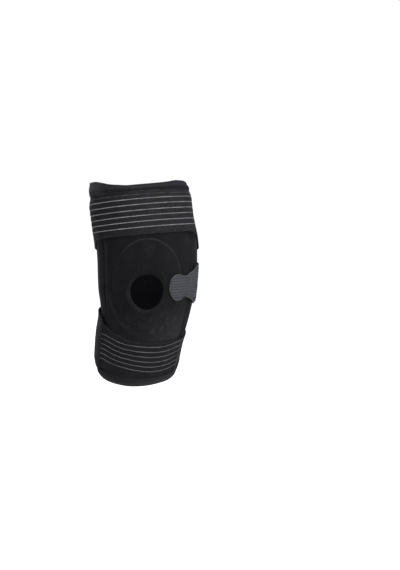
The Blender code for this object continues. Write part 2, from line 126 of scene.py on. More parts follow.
@dataclass(frozen=True)
class Leg:
    """The outside of the worn sleeve, as places at an angle round the leg and a height along it.

    The angle is 0 in front and positive towards the medial side, in degrees. Heights are in metres.
    """

    knee_width: float = 0.136
    length: float = 0.262
    ring_rise: float = 0.0042
    ring_edge: float = 0.0010
    ring_half_width: float = 0.0473
    ring_half_height: float = 0.0540
    ring_centre_height: float = 0.0139
    ring_top: float = 0.45
    ring_foot: tuple[float, float] = (1.16, 0.98)
    hole_half_width: float = 0.0218
    hole_half_height: float = 0.0201
    hole_centre_height: float = 0.0027
    pocket_inner_angle: float = 61.5
    pocket_outer_angle: float = 99.0
    pocket_slope: float = 7.0
    pocket_thickness: float = 0.0022
    pocket_ends: tuple[float, float] = (-0.408, 0.499)
    pocket_taper: tuple[float, float] = (0.006, 0.014)
    dip_depth: float = 0.0022
    dip_reach: float = 0.0068
    gap: float = 0.0003
    cloth_radius: float = 0.068
    # Height share, centre x and y, roll and pitch in degrees, then the lateral, medial, front and back half
    # sizes, and how square the section is. Centres and half sizes are shares of the knee's width.
    sections: tuple[Row, ...] = (
        (-0.500, -0.120, 0.180, 0.0, -16.0, 0.390, 0.392, 0.395, 0.480, 2.10),
        (-0.462, -0.118, 0.169, -0.5, -16.0, 0.396, 0.401, 0.400, 0.485, 2.10),
        (-0.375, -0.110, 0.130, -3.0, -16.0, 0.393, 0.407, 0.412, 0.490, 2.10),
        (-0.267, -0.084, 0.083, -5.5, -14.0, 0.404, 0.415, 0.430, 0.480, 2.12),
        (-0.172, -0.046, 0.041, -5.0, -9.5, 0.413, 0.433, 0.458, 0.470, 2.16),
        (-0.095, -0.020, 0.013, -3.0, -5.0, 0.444, 0.447, 0.480, 0.475, 2.20),
        (0.000, -0.009, 0.000, 0.0, 0.5, 0.474, 0.478, 0.500, 0.490, 2.24),
        (0.134, -0.004, 0.009, 3.0, 5.5, 0.487, 0.492, 0.515, 0.510, 2.24),
        (0.229, -0.013, 0.028, 4.5, 7.5, 0.489, 0.496, 0.525, 0.535, 2.20),
        (0.344, -0.043, 0.060, 5.3, 8.5, 0.489, 0.478, 0.540, 0.560, 2.16),
        (0.439, -0.066, 0.088, 5.0, 8.5, 0.489, 0.477, 0.552, 0.578, 2.14),
        (0.488, -0.076, 0.102, 4.2, 8.5, 0.485, 0.475, 0.556, 0.584, 2.13),
        (0.534, -0.085, 0.115, 3.0, 8.5, 0.492, 0.473, 0.560, 0.590, 2.12),
        (0.580, -0.090, 0.128, 2.0, 8.5, 0.491, 0.472, 0.562, 0.592, 2.12),
    )
    # Angle, then the sleeve's bottom and top edge as shares of the length.
    edges: tuple[Row, ...] = (
        (-180.0, -0.440, 0.534),
        (-90.0, -0.441, 0.552),
        (-64.0, -0.443, 0.549),
        (-48.0, -0.446, 0.539),
        (-36.0, -0.446, 0.528),
        (-25.0, -0.446, 0.522),
        (-11.0, -0.447, 0.5165),
        (1.0, -0.446, 0.518),
        (18.0, -0.443, 0.521),
        (34.0, -0.441, 0.526),
        (54.0, -0.443, 0.536),
        (68.0, -0.443, 0.536),
        (90.0, -0.442, 0.526),
        (180.0, -0.440, 0.534),
    )

    @property
    def girth(self) -> float:
        """The flat cloth's width round the leg."""
        return 2 * math.pi * self.cloth_radius

    @property
    def hole_radius(self) -> float:
        """The hole's mean half size."""
        return 0.5 * (self.hole_half_width + self.hole_half_height)

    @property
    def strap_top(self) -> float:
        """The height of the upper edge of the thigh strap and the stay pockets."""
        return self.length * self.pocket_ends[1]

    def column(self, height: Array, index: int) -> Array:
        """A column of the sections' table at these heights."""
        return eased(self.sections, height / self.length, index)

    def edge(self, angle: Array, index: int) -> Array:
        """The height of the sleeve's bottom edge (1) or top edge (2)."""
        return self.length * eased(self.edges, wrapped(angle), index)

    def halves(self, angle: Array, height: Array) -> tuple[Array, Array]:
        """The section's half sizes to the side and to the front that hold at these angles.

        Args:
            angle: angles round the leg in degrees.
            height: heights along the leg in metres.

        Returns:
            The half size to the side, then the one to the front or the back, in metres.
        """
        sine, cosine = np.sin(np.radians(angle)), np.cos(np.radians(angle))
        aside = np.where(sine > 0, self.column(height, 6), self.column(height, 5))
        ahead = np.where(cosine > 0, self.column(height, 7), self.column(height, 8))
        return self.knee_width * aside, self.knee_width * ahead

    def across(self, angle: Array, height: Array) -> Array:
        """How far to the side of the section's centre a place lies.

        Args:
            angle: angles round the leg in degrees.
            height: heights along the leg in metres.

        Returns:
            The distances in metres, above 0 on the medial side.
        """
        sine = np.sin(np.radians(angle))
        power = 2 / self.column(height, 9)
        return self.halves(angle, height)[0] * np.copysign(np.abs(sine) ** power, sine)

    def angle_at(self, side: Array, height: Array) -> Array:
        """The angle on the front half that lies this far to the side.

        Args:
            side: distances to the side in metres, above 0 on the medial side.
            height: heights along the leg in metres.

        Returns:
            The angles in degrees.
        """
        half = self.halves(np.where(side > 0, 1.0, -1.0), height)[0]
        share = np.minimum(np.abs(side) / half, 1.0) ** (self.column(height, 9) / 2)
        return np.degrees(np.copysign(np.arcsin(share), side))

    def ring_distance(self, angle: Array, height: Array) -> Array:
        """0 at the middle of the raised ring and 1 at its seam.

        Args:
            angle: angles round the leg in degrees.
            height: heights along the leg in metres.

        Returns:
            The shares, and 9 on the back half.
        """
        far = np.hypot(
            self.across(angle, height) / self.ring_half_width,
            (height - self.ring_centre_height) / self.ring_half_height,
        )
        return np.where(np.cos(np.radians(angle)) > 0, far, 9.0)

    def ring_lift(self, angle: Array, height: Array) -> Array:
        """How far the ring inside pushes the sleeve out.

        Args:
            angle: angles round the leg in degrees.
            height: heights along the leg in metres.

        Returns:
            The distances in metres.
        """
        far, (foot, seam) = self.ring_distance(angle, height), self.ring_foot
        dome = (self.ring_rise - self.ring_edge) * (1 - ramp(far, self.ring_top, seam))
        return dome + self.ring_edge * (1 - ramp(far, seam, foot))

    def seam_offset(self, angle: Array, height: Array) -> Array:
        """About how far outside the ring's seam a place is, in metres."""
        size = 0.5 * (self.ring_half_width + self.ring_half_height)
        return (self.ring_distance(angle, height) - self.ring_foot[1]) * size

    def pocket_fade(self, height: Array) -> Array:
        """1 along a stay pocket and 0 at its flattened ends.

        Args:
            height: heights along the leg in metres.

        Returns:
            The shares, from 0 to 1.
        """
        low, high = (share * self.length for share in self.pocket_ends)
        below, above = self.pocket_taper
        return ramp(height, low, low + below) * (1 - ramp(height, high - above, high))

    def pocket_lift(self, angle: Array, height: Array) -> Array:
        """How far a stay pocket pushes out what lies over it.

        Args:
            angle: angles round the leg in degrees.
            height: heights along the leg in metres.

        Returns:
            The distances in metres.
        """
        off = np.abs(wrapped(angle))
        rise = ramp(off, self.pocket_inner_angle - self.pocket_slope, self.pocket_inner_angle)
        fall = ramp(off, self.pocket_outer_angle, self.pocket_outer_angle + self.pocket_slope)
        return (self.pocket_thickness * self.pocket_fade(height) + self.gap) * rise * (1 - fall)

    def hole_distance(self, angle: Array, height: Array) -> Array:
        """About how far outside the hole's edge a place is, in metres.

        Args:
            angle: angles round the leg in degrees.
            height: heights along the leg in metres.

        Returns:
            The distances in metres, below 0 inside the hole, and 1 on the back half.
        """
        side = self.across(angle, height)
        up = height - self.hole_centre_height
        share = np.hypot(side / self.hole_half_width, up / self.hole_half_height)
        front = np.cos(np.radians(angle)) > 0
        return np.where(front, (share - 1) * self.hole_radius, 1.0)

    def hole_dip(self, angle: Array, height: Array) -> Array:
        """How far the cloth falls towards the knee at the hole's edge."""
        return self.dip_depth * (1 - ramp(self.hole_distance(angle, height), -0.0015, self.dip_reach))

    def place(self, angle: Array, height: Array, out: Array) -> Array:
        """The points this far out from the sleeve's outside.

        Args:
            angle: angles round the leg in degrees.
            height: heights in metres.
            out: distances out from the surface in metres.

        Returns:
            One row of x, y, z for each place.
        """
        sine, cosine = np.sin(np.radians(angle)), np.cos(np.radians(angle))
        half_x, half_y = self.halves(angle, height)
        power = self.column(height, 9)
        x = half_x * np.copysign(np.abs(sine) ** (2 / power), sine)
        y = -half_y * np.copysign(np.abs(cosine) ** (2 / power), cosine)
        nx = np.copysign(np.abs(x / half_x) ** (power - 1), x) / half_x
        ny = np.copysign(np.abs(y / half_y) ** (power - 1), y) / half_y
        size = np.hypot(nx, ny)
        x, y = x + out * nx / size, y + out * ny / size
        roll, pitch = np.radians(self.column(height, 3)), np.radians(self.column(height, 4))
        return np.stack(
            [
                self.knee_width * self.column(height, 1) + x * np.cos(roll),
                self.knee_width * self.column(height, 2) + y * np.cos(pitch),
                height + x * np.sin(roll) - y * np.sin(pitch),
            ],
            axis=1,
        )

    def cloth(self, angle: Array, height: Array) -> tuple[Array, Array]:
        """Places on the flat cloth, in metres, for weaves that follow the surface."""
        return np.radians(angle) * self.cloth_radius, height


def wrapped(angle: Array) -> Array:
    """The same angles from -180 to 180 degrees."""
    return (np.asarray(angle) + 180.0) % 360.0 - 180.0


LEG = Leg()


class Graph:
    """Short calls that add nodes to a material or a node group."""

    def __init__(self, tree: bpy.types.NodeTree) -> None:
        """Works on this node tree."""
        self.tree = tree

    def node(self, kind: str, **settings: object) -> bpy.types.Node:
        """Adds a node with these settings.

        Args:
            kind: the node's type.
            settings: what its properties are set to.

        Returns:
            The node.
        """
        made = self.tree.nodes.new(kind)
        for name, value in settings.items():
            setattr(made, name, value)
        return made

    def feed(self, socket: bpy.types.NodeSocket, value: object) -> None:
        """Links a socket to the input, or gives it a plain value.

        Args:
            socket: the input.
            value: a socket or a plain value.
        """
        if isinstance(value, bpy.types.NodeSocket):
            self.tree.links.new(value, socket)
        elif isinstance(value, tuple) and len(value) == 3 and socket.type == "RGBA":
            socket.default_value = (*value, 1.0)
        else:
            socket.default_value = value

    def math(self, operation: str, *values: object) -> bpy.types.NodeSocket:
        """Adds a Math node fed with these values.

        Args:
            operation: what the node does.
            values: numbers or sockets.

        Returns:
            The result's socket.
        """
        made = self.node("ShaderNodeMath", operation=operation)
        for socket, value in zip(made.inputs, values):
            self.feed(socket, value)
        return made.outputs[0]

    def mix(self, share: object, first: object, second: object) -> bpy.types.NodeSocket:
        """Mixes two colours.

        Args:
            share: how much of the second colour there is.
            first: a colour or a socket.
            second: a colour or a socket.

        Returns:
            The socket of the mixed colour.
        """
        made = self.node("ShaderNodeMix", data_type="RGBA")
        self.feed(made.inputs["Factor"], share)
        self.feed(made.inputs[6], first)
        self.feed(made.inputs[7], second)
        return made.outputs[2]

    def noise(self, vector: object, scale: object, detail: float = 2.0) -> bpy.types.NodeSocket:
        """Adds a noise texture and returns its value.

        Args:
            vector: where the noise is read.
            scale: the noise's scale.
            detail: how fine it goes.

        Returns:
            The socket of the noise.
        """
        made = self.node("ShaderNodeTexNoise")
        self.feed(made.inputs["Vector"], vector)
        self.feed(made.inputs["Scale"], scale)
        made.inputs["Detail"].default_value = detail
        return made.outputs[0]

    def range(
        self, value: object, low: object, high: object, to_low: object = 0.0, to_high: object = 1.0
    ) -> bpy.types.NodeSocket:
        """Maps a value smoothly from one range to another.

        Args:
            value: what is mapped.
            low: where the first range starts.
            high: where it ends.
            to_low: where the second range starts.
            to_high: where that ends.

        Returns:
            The result's socket.
        """
        made = self.node("ShaderNodeMapRange", interpolation_type="SMOOTHSTEP")
        for socket, fed in zip(made.inputs, (value, low, high, to_low, to_high)):
            self.feed(socket, fed)
        return made.outputs[0]

    def split(self, vector: object) -> tuple[bpy.types.NodeSocket, bpy.types.NodeSocket]:
        """The first two parts of a vector.

        Args:
            vector: the vector's socket.

        Returns:
            The sockets of both parts.
        """
        made = self.node("ShaderNodeSeparateXYZ")
        self.feed(made.inputs[0], vector)
        return made.outputs[0], made.outputs[1]

    def joined(self, x: object, y: object) -> bpy.types.NodeSocket:
        """A vector of two parts.

        Args:
            x: the first part.
            y: the second part.

        Returns:
            The vector's socket.
        """
        made = self.node("ShaderNodeCombineXYZ")
        self.feed(made.inputs[0], x)
        self.feed(made.inputs[1], y)
        return made.outputs[0]


class Effects:
    """The node groups that the finishes share, each built once."""

    def __init__(self) -> None:
        """Builds every group."""
        self.knit = self._knit()
        self.weave = self._weave()
        self.lines = self._lines()
        self.lint = self._lint()

    @staticmethod
    def _new(
        name: str, inputs: dict[str, object], outputs: dict[str, str]
    ) -> tuple[bpy.types.NodeTree, Graph, bpy.types.Node, bpy.types.Node]:
        """Starts a group.

        Args:
            name: the group's name.
            inputs: each input's name, with its default or "vector".
            outputs: each output's name and socket type.

        Returns:
            The tree, its graph, and the group's input and output nodes.
        """
        tree = bpy.data.node_groups.new(name, "ShaderNodeTree")
        for label, value in inputs.items():
            kind = "NodeSocketVector" if value == "vector" else "NodeSocketFloat"
            socket = tree.interface.new_socket(name=label, in_out="INPUT", socket_type=kind)
            if value != "vector":
                socket.default_value = value
        for label, kind in outputs.items():
            tree.interface.new_socket(name=label, in_out="OUTPUT", socket_type=kind)
        graph = Graph(tree)
        return tree, graph, graph.node("NodeGroupInput"), graph.node("NodeGroupOutput")

    def _knit(self) -> bpy.types.NodeTree:
        """Rows of small V-shaped loops, as on a jersey face.

        Returns:
            The node group.
        """
        tree, g, given, made = self._new(
            "Knit", {"Cloth": "vector", "Wale": 0.0008, "Course": 0.0006}, {"Height": "NodeSocketFloat"}
        )
        u, v = g.split(given.outputs["Cloth"])
        column = g.math("FRACT", g.math("DIVIDE", u, given.outputs["Wale"]))
        lean = g.math("ABSOLUTE", g.math("SUBTRACT", column, 0.5))
        middle = g.math("ABSOLUTE", g.math("SUBTRACT", g.math("MULTIPLY", lean, 2.0), 0.5))
        rib = g.math("SINE", g.math("MULTIPLY", middle, math.pi))
        row = g.math("ADD", g.math("DIVIDE", v, given.outputs["Course"]), g.math("MULTIPLY", lean, 1.4))
        loop = g.math("ABSOLUTE", g.math("SINE", g.math("MULTIPLY", row, math.pi)))
        left = g.math("SUBTRACT", 1.0, g.math("MULTIPLY", rib, 0.6))
        g.feed(made.inputs["Height"], g.math("MULTIPLY", left, loop))
        return tree

    def _weave(self) -> bpy.types.NodeTree:
        """Threads over and under each other.

        Returns:
            The node group.
        """
        tree, g, given, made = self._new(
            "Weave", {"Cloth": "vector", "Warp": 0.0006, "Weft": 0.0006}, {"Height": "NodeSocketFloat"}
        )
        u, v = g.split(given.outputs["Cloth"])
        x, y = g.math("DIVIDE", u, given.outputs["Warp"]), g.math("DIVIDE", v, given.outputs["Weft"])
        turn = g.math("PINGPONG", g.math("ADD", g.math("FLOOR", x), g.math("FLOOR", y)), 1.0)
        along = g.math("ABSOLUTE", g.math("SINE", g.math("MULTIPLY", x, math.pi)))
        across = g.math("ABSOLUTE", g.math("SINE", g.math("MULTIPLY", y, math.pi)))
        blend = g.node("ShaderNodeMix")
        g.feed(blend.inputs["Factor"], turn)
        g.feed(blend.inputs[2], along)
        g.feed(blend.inputs[3], across)
        g.feed(made.inputs["Height"], blend.outputs[0])
        return tree

    def _lines(self) -> bpy.types.NodeTree:
        """Light threads at even spaces up the cloth, worn here and there.

        Returns:
            The node group.
        """
        tree, g, given, made = self._new(
            "Light lines",
            {"Cloth": "vector", "First": 0.0, "Spacing": 0.0075, "Count": 6.0, "Width": 0.0009, "Wear": 0.5},
            {"Mask": "NodeSocketFloat"},
        )
        u, v = g.split(given.outputs["Cloth"])
        steps = g.math("DIVIDE", g.math("SUBTRACT", v, given.outputs["First"]), given.outputs["Spacing"])
        nearest = g.math("ROUND", steps)
        apart = g.math("ABSOLUTE", g.math("SUBTRACT", steps, nearest))
        off = g.math("MULTIPLY", apart, given.outputs["Spacing"])
        half = g.math("MULTIPLY", given.outputs["Width"], 0.5)
        line = g.range(off, half, g.math("MULTIPLY", half, 0.55))
        past_first = g.math("GREATER_THAN", nearest, -0.5)
        last = g.math("SUBTRACT", given.outputs["Count"], 0.5)
        inside = g.math("MULTIPLY", past_first, g.math("LESS_THAN", nearest, last))
        patchy = g.noise(g.joined(g.math("MULTIPLY", u, 0.35), v), 260.0, 3.0)
        wear_and_painted_light = g.range(patchy, 0.30, 0.62)
        slant = g.math("ADD", u, g.math("MULTIPLY", v, 0.8))
        twist = g.math("ABSOLUTE", g.math("SINE", g.math("MULTIPLY", slant, 2600.0)))
        whole = g.math("MULTIPLY", wear_and_painted_light, g.math("ADD", 0.6, g.math("MULTIPLY", twist, 0.4)))
        lost = g.math("MULTIPLY", given.outputs["Wear"], g.math("SUBTRACT", 1.0, whole))
        kept = g.math("SUBTRACT", 1.0, lost)
        g.feed(made.inputs["Mask"], g.math("MULTIPLY", g.math("MULTIPLY", line, inside), kept))
        return tree

    def _lint(self) -> bpy.types.NodeTree:
        """Cloudy patches where the cloth has rubbed, and a few specks of lint.

        Returns:
            The node group.
        """
        tree, g, given, made = self._new(
            "Lint and rub",
            {"Cloth": "vector"},
            {"Cloud": "NodeSocketFloat", "Specks": "NodeSocketFloat", "Grain": "NodeSocketFloat"},
        )
        cloth = given.outputs["Cloth"]
        g.feed(made.inputs["Cloud"], g.range(g.noise(cloth, 55.0, 4.0), 0.35, 0.70))
        g.feed(made.inputs["Specks"], g.range(g.noise(cloth, 1500.0, 1.0), 0.74, 0.80))
        g.feed(made.inputs["Grain"], g.range(g.noise(cloth, 420.0, 3.0), 0.30, 0.72))
        return tree


@dataclass(frozen=True)
class Finish:
    """A cloth's colours and the way that its surface is made."""

    name: str
    slot: Slot
    dark: Row
    light: Row
    roughness: float
    sheen: float
    knit: tuple[float, float] | None = None
    weave: tuple[float, float] | None = None
    grain: float = 0.00012
    lines: tuple[tuple[Row, Row], ...] = ()
    lint: float = 0.3
    gloss: float = 0.10
    # The lighter colour that the cloth is mixed towards: painted sheen and highlights, and some lighter
    # random tone.
    sheen_and_tone_paint: Row = (0.036, 0.036, 0.041)
    # How much the light lines fade under that painted sheen.
    line_fade: float = 0.9

    def build(self, effects: Effects) -> bpy.types.Material:
        """Makes the material.

        Args:
            effects: the shared node groups.

        Returns:
            The finished material.
        """
        made = bpy.data.materials.new(self.name)
        made.use_nodes = True
        g = Graph(made.node_tree)
        shader = made.node_tree.nodes["Principled BSDF"]
        cloth = g.node("ShaderNodeUVMap", uv_map="cloth").outputs[0]
        lint = self._group(g, effects.lint, cloth)
        if self.knit:
            wale, course = self.knit
            height = self._group(g, effects.knit, cloth, Wale=wale, Course=course).outputs["Height"]
        else:
            warp, weft = self.weave
            height = self._group(g, effects.weave, cloth, Warp=warp, Weft=weft).outputs["Height"]
        fibre = g.noise(cloth, 2400.0, 2.0)
        relief = g.math("ADD", height, g.math("MULTIPLY", fibre, 0.5))
        cloud = g.math("MULTIPLY", lint.outputs["Cloud"], 0.25)
        patches = g.math("ADD", cloud, g.math("MULTIPLY", lint.outputs["Grain"], 0.40))
        # Painted shade at the scale of the threads: the texture's hollows are darker and its raised threads
        # lighter; the cloud and grain are the cloth's own tone.
        tone = g.math("ADD", g.math("MULTIPLY", height, 0.35), patches)
        colour = g.mix(tone, self.dark, self.light)
        speck = g.math("MULTIPLY", lint.outputs["Specks"], self.lint)
        colour = g.mix(speck, colour, (0.16, 0.16, 0.17))
        # Painted light: the mesh's share of painted sheen and highlights, with some lighter random tone,
        # broken up by the grain, mixes in the lighter colour and fades the light lines.
        sheen_and_tone_paint = g.node("ShaderNodeAttribute", attribute_name="tone_and_sheen").outputs["Fac"]
        sheen_and_tone_paint = g.math("MULTIPLY", sheen_and_tone_paint, g.range(lint.outputs["Grain"], -0.6, 0.9))
        colour = g.mix(sheen_and_tone_paint, colour, self.sheen_and_tone_paint)
        kept = g.math("SUBTRACT", 1.0, g.math("MULTIPLY", sheen_and_tone_paint, self.line_fade))
        for (first, spacing, count, width, wear), bright in self.lines:
            mask = self._group(
                g, effects.lines, cloth, First=first, Spacing=spacing, Count=count, Width=width, Wear=wear
            )
            colour = g.mix(g.math("MULTIPLY", mask.outputs["Mask"], kept), colour, bright)
        g.feed(shader.inputs["Base Color"], colour)
        rough = g.range(tone, 0.0, 1.0, self.roughness + 0.06, self.roughness - 0.06)
        g.feed(shader.inputs["Roughness"], rough)
        shader.inputs["Sheen Weight"].default_value = self.sheen
        shader.inputs["Sheen Roughness"].default_value = 0.45
        shader.inputs["Sheen Tint"].default_value = (0.75, 0.77, 0.85, 1.0)
        shader.inputs["Specular IOR Level"].default_value = self.gloss
        bumped = g.node("ShaderNodeBump")
        bumped.inputs["Strength"].default_value = 0.6
        bumped.inputs["Distance"].default_value = self.grain
        g.feed(bumped.inputs["Height"], relief)
        g.feed(shader.inputs["Normal"], bumped.outputs[0])
        return made

    @staticmethod
    def _group(
        g: Graph, tree: bpy.types.NodeTree, cloth: bpy.types.NodeSocket, **values: float
    ) -> bpy.types.Node:
        """Places a shared group in the material with its own values.

        Args:
            g: the material's graph.
            tree: the shared group.
            cloth: the socket of the cloth map.
            values: the group's own values, by name.

        Returns:
            The group's node.
        """
        made = g.node("ShaderNodeGroup", node_tree=tree)
        g.feed(made.inputs["Cloth"], cloth)
        for name, value in values.items():
            made.inputs[name].default_value = value
        return made


# The light lines of each strap: the lowest line's share of the length, the step between lines, how many.
THIGH_LINES = (0.308, 0.0284, 6)
CALF_LINES = (-0.3555, 0.0250, 6)


class Palette:
    """Every finish of the brace, made once."""

    def __init__(self) -> None:
        """Builds the shared node groups and the materials."""
        effects = Effects()
        length = LEG.length
        self.neoprene = Finish(
            "Knitted neoprene", Slot.NEOPRENE, (0.0060, 0.0062, 0.0078), (0.0150, 0.0152, 0.0180),
            0.84, 0.04, knit=(0.0011, 0.0008),
        ).build(effects)
        self.pocket = Finish(
            "Stay pocket cloth", Slot.NEOPRENE, (0.0075, 0.0078, 0.0095), (0.0180, 0.0184, 0.0215),
            0.80, 0.05, knit=(0.0011, 0.0008),
        ).build(effects)
        self.tape = Finish(
            "Edge tape", Slot.TAPE, (0.0090, 0.0093, 0.0115), (0.0225, 0.0230, 0.0275), 0.78, 0.05,
            # The lighter colour of the tape's painted highlights.
            weave=(0.0007, 0.0005), sheen_and_tone_paint=(0.062, 0.062, 0.068),
        ).build(effects)
        self.thigh = Finish(
            "Thigh elastic", Slot.ELASTIC, (0.0080, 0.0080, 0.0098), (0.0270, 0.0270, 0.0315), 0.76, 0.05,
            weave=(0.0012, 0.0006), grain=0.00018,
            lines=(
                ((THIGH_LINES[0] * length, THIGH_LINES[1] * length, 6.0, 0.0012, 0.45), (0.42, 0.42, 0.445)),
                ((0.4713 * length, 0.0187 * length, 2.0, 0.0011, 0.97), (0.12, 0.12, 0.13)),
            ),
        ).build(effects)
        self.calf = Finish(
            "Calf elastic", Slot.ELASTIC, (0.0078, 0.0076, 0.0090), (0.0200, 0.0196, 0.0228), 0.78, 0.05,
            weave=(0.0012, 0.0006), grain=0.00018,
            lines=(
                ((CALF_LINES[0] * length, CALF_LINES[1] * length, 6.0, 0.0012, 0.45), (0.20, 0.20, 0.21)),
            ),
        ).build(effects)
        self.loop = Finish(
            "Brushed loop cloth", Slot.LOOP, (0.0090, 0.0088, 0.0106), (0.0240, 0.0232, 0.0270), 0.90, 0.08,
            knit=(0.0009, 0.0009), grain=0.00020,
        ).build(effects)
        self.hook = Finish(
            "Ribbed grey tab", Slot.HOOK, (0.046, 0.048, 0.056), (0.078, 0.081, 0.093), 0.68, 0.04,
            weave=(0.0016, 0.0009), grain=0.00025, lint=0.1,
            lines=(((-0.0300, 0.0030, 24.0, 0.0026, 0.35), (0.094, 0.098, 0.112)),),
            # The lighter grey of the tab's painted highlights round its edges.
            sheen_and_tone_paint=(0.16, 0.165, 0.18),
        ).build(effects)
        self.thread = Finish(
            "Sewing thread", Slot.TAPE, (0.016, 0.016, 0.019), (0.040, 0.040, 0.045), 0.60, 0.03,
            weave=(0.0004, 0.0004), lint=0.0,
        ).build(effects)
        self.dark_thread = Finish(
            "Dark sewing thread", Slot.NEOPRENE, (0.006, 0.006, 0.008), (0.014, 0.014, 0.017), 0.65, 0.02,
            weave=(0.0004, 0.0004), lint=0.0,
        ).build(effects)


class Cloth:
    """A sheet of cloth that starts as a flat grid and is then laid on the leg and given its thickness."""

    def __init__(self, name: str, columns: int, rows: int) -> None:
        """Makes the flat grid.

        Args:
            name: the piece's name.
            columns: faces across.
            rows: faces up.
        """
        self.name, self.columns, self.rows = name, columns, rows
        self.edit = bmesh.new()
        bmesh.ops.create_grid(self.edit, x_segments=columns, y_segments=rows, size=0.5)
        self.s_layer = self.edit.verts.layers.float.new("s")
        self.t_layer = self.edit.verts.layers.float.new("t")
        for vert in self.edit.verts:
            vert[self.s_layer] = vert.co.x + 0.5
            vert[self.t_layer] = vert.co.y + 0.5

    def flat(self, verts: list | None = None) -> tuple[Array, Array]:
        """The places of these vertices on the flat grid, each from 0 to 1.

        Args:
            verts: which vertices.

        Returns:
            Their places across and up the grid.
        """
        chosen = self.edit.verts if verts is None else verts
        s = np.array([vert[self.s_layer] for vert in chosen])
        t = np.array([vert[self.t_layer] for vert in chosen])
        return s, t

    def cut(self, gone: Callable[[Array, Array], Array]) -> None:
        """Removes the faces whose middle the test picks.

        Args:
            gone: tells from places on the grid whether a face goes.
        """
        s, t = self.flat()
        self.edit.verts.index_update()
        faces = self.edit.faces[:]
        corners = [[vert.index for vert in face.verts] for face in faces]
        middle_s = np.array([s[c].mean() for c in corners])
        middle_t = np.array([t[c].mean() for c in corners])
        picked = gone(middle_s, middle_t)
        bmesh.ops.delete(self.edit, geom=[f for f, out in zip(faces, picked) if out], context="FACES")

    def map_cloth(self, chart: Callable[[Array, Array], tuple[Array, Array]]) -> None:
        """Writes the cloth map, in metres, from the flat grid.

        Args:
            chart: gives metres across and up from places on the grid.
        """
        layer = self.edit.loops.layers.uv.new("cloth")
        self.edit.verts.index_update()
        u, v = chart(*self.flat())
        for face in self.edit.faces:
            for loop in face.loops:
                i = loop.vert.index
                loop[layer].uv = (u[i], v[i])

    def lay(self, chart: Callable[[Array, Array, float], Array], closed: bool = False) -> None:
        """Gives the sheet its two faces.

        Args:
            chart: the points at places of the flat grid, for side 0 inside and side 1 outside.
            closed: whether the first and last columns meet round the leg.
        """
        self._move(self.edit.verts[:], chart, 0.0)
        if closed:
            bmesh.ops.remove_doubles(self.edit, verts=self.edit.verts[:], dist=1e-6)
        grown = bmesh.ops.extrude_face_region(self.edit, geom=self.edit.faces[:], use_keep_orig=True)
        outer = [item for item in grown["geom"] if isinstance(item, bmesh.types.BMVert)]
        self._move(outer, chart, 1.0)

    def _move(self, verts: list, chart: Callable[[Array, Array, float], Array], side: float) -> None:
        """Moves vertices to where the chart puts them.

        Args:
            verts: which vertices.
            chart: gives the points of places on the grid.
            side: 0 for the inside and 1 for the outside.
        """
        s, t = self.flat(verts)
        for vert, point in zip(verts, chart(s, t, side)):
            vert.co = point

    def tone_and_sheen(self, chart: Callable[[Array, Array], Array]) -> None:
        """Writes the share of painted sheen and highlights, with some lighter random tone, at each place,
        from 0 to 1.

        Args:
            chart: gives that share from places on the grid.
        """
        layer = self.edit.verts.layers.float.new("tone_and_sheen")
        for vert, value in zip(self.edit.verts, np.clip(chart(*self.flat()), 0.0, 1.0)):
            vert[layer] = value

    def settle_profile(self, chart: Callable[[Array, Array, float], Array]) -> None:
        """Lays and welds a sheet whose grid closes on itself both ways."""
        self._move(self.edit.verts[:], chart, 0.0)
        bmesh.ops.remove_doubles(self.edit, verts=self.edit.verts[:], dist=1e-6)

    def done(self, material: bpy.types.Material) -> bpy.types.Object:
        """Makes the object, with its faces pointing out."""
        return finished(self.edit, self.name, material)


def finished(edit: bmesh.types.BMesh, name: str, material: bpy.types.Material) -> bpy.types.Object:
    """Turns a bmesh into a piece of the scene.

    Args:
        edit: the mesh, which is freed.
        name: the piece's name.
        material: its finish.

    Returns:
        The object, smooth and linked.
    """
    bmesh.ops.recalc_face_normals(edit, faces=edit.faces[:])
    if edit.calc_volume(signed=True) < 0:
        bmesh.ops.reverse_faces(edit, faces=edit.faces[:])
    for face in edit.faces:
        face.smooth = True
    mesh = bpy.data.meshes.new(name)
    edit.to_mesh(mesh)
    edit.free()
    mesh.materials.append(material)
    made = bpy.data.objects.new(name, mesh)
    bpy.context.scene.collection.objects.link(made)
    return made


def settle(piece: bpy.types.Object, slot: Slot, *nodes: str) -> bpy.types.Object:
    """Makes a piece ride on the body, and take the place of its nodes.

    Args:
        piece: the mesh object.
        slot: not used.
        nodes: the nodes it takes the place of.

    Returns:
        The same object.
    """
    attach(piece, BODY)
    if nodes:
        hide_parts(*nodes)
    log.info("%s: %d faces", piece.name, len(piece.data.polygons))
    return piece


def dense(share: Array, count: int, size: float, radius: float) -> Array:
    """Moves even grid places so that three of them lie in the rounded edge at each end.

    Args:
        share: even places from 0 to 1.
        count: how many steps the grid has.
        size: the sheet's size that way, in metres.
        radius: how wide the rounded edge is, in metres.

    Returns:
        The new places, from 0 to 1.
    """
    stops = np.array([0.0, 0.12, 0.45, 1.0]) * radius / size
    inner = np.linspace(stops[-1], 1 - stops[-1], count - 5)
    table = np.concatenate([stops[:-1], inner, 1 - stops[-2::-1]])
    return np.interp(share * count, np.arange(count + 1), table)


def rounding(distance: Array, radius: float) -> Array:
    """0 at a sheet's edge and 1 where its rounded edge ends."""
    t = np.clip(distance / radius, 0.0, 1.0)
    return np.sqrt(np.maximum(1 - (1 - t) ** 2, 0.0))


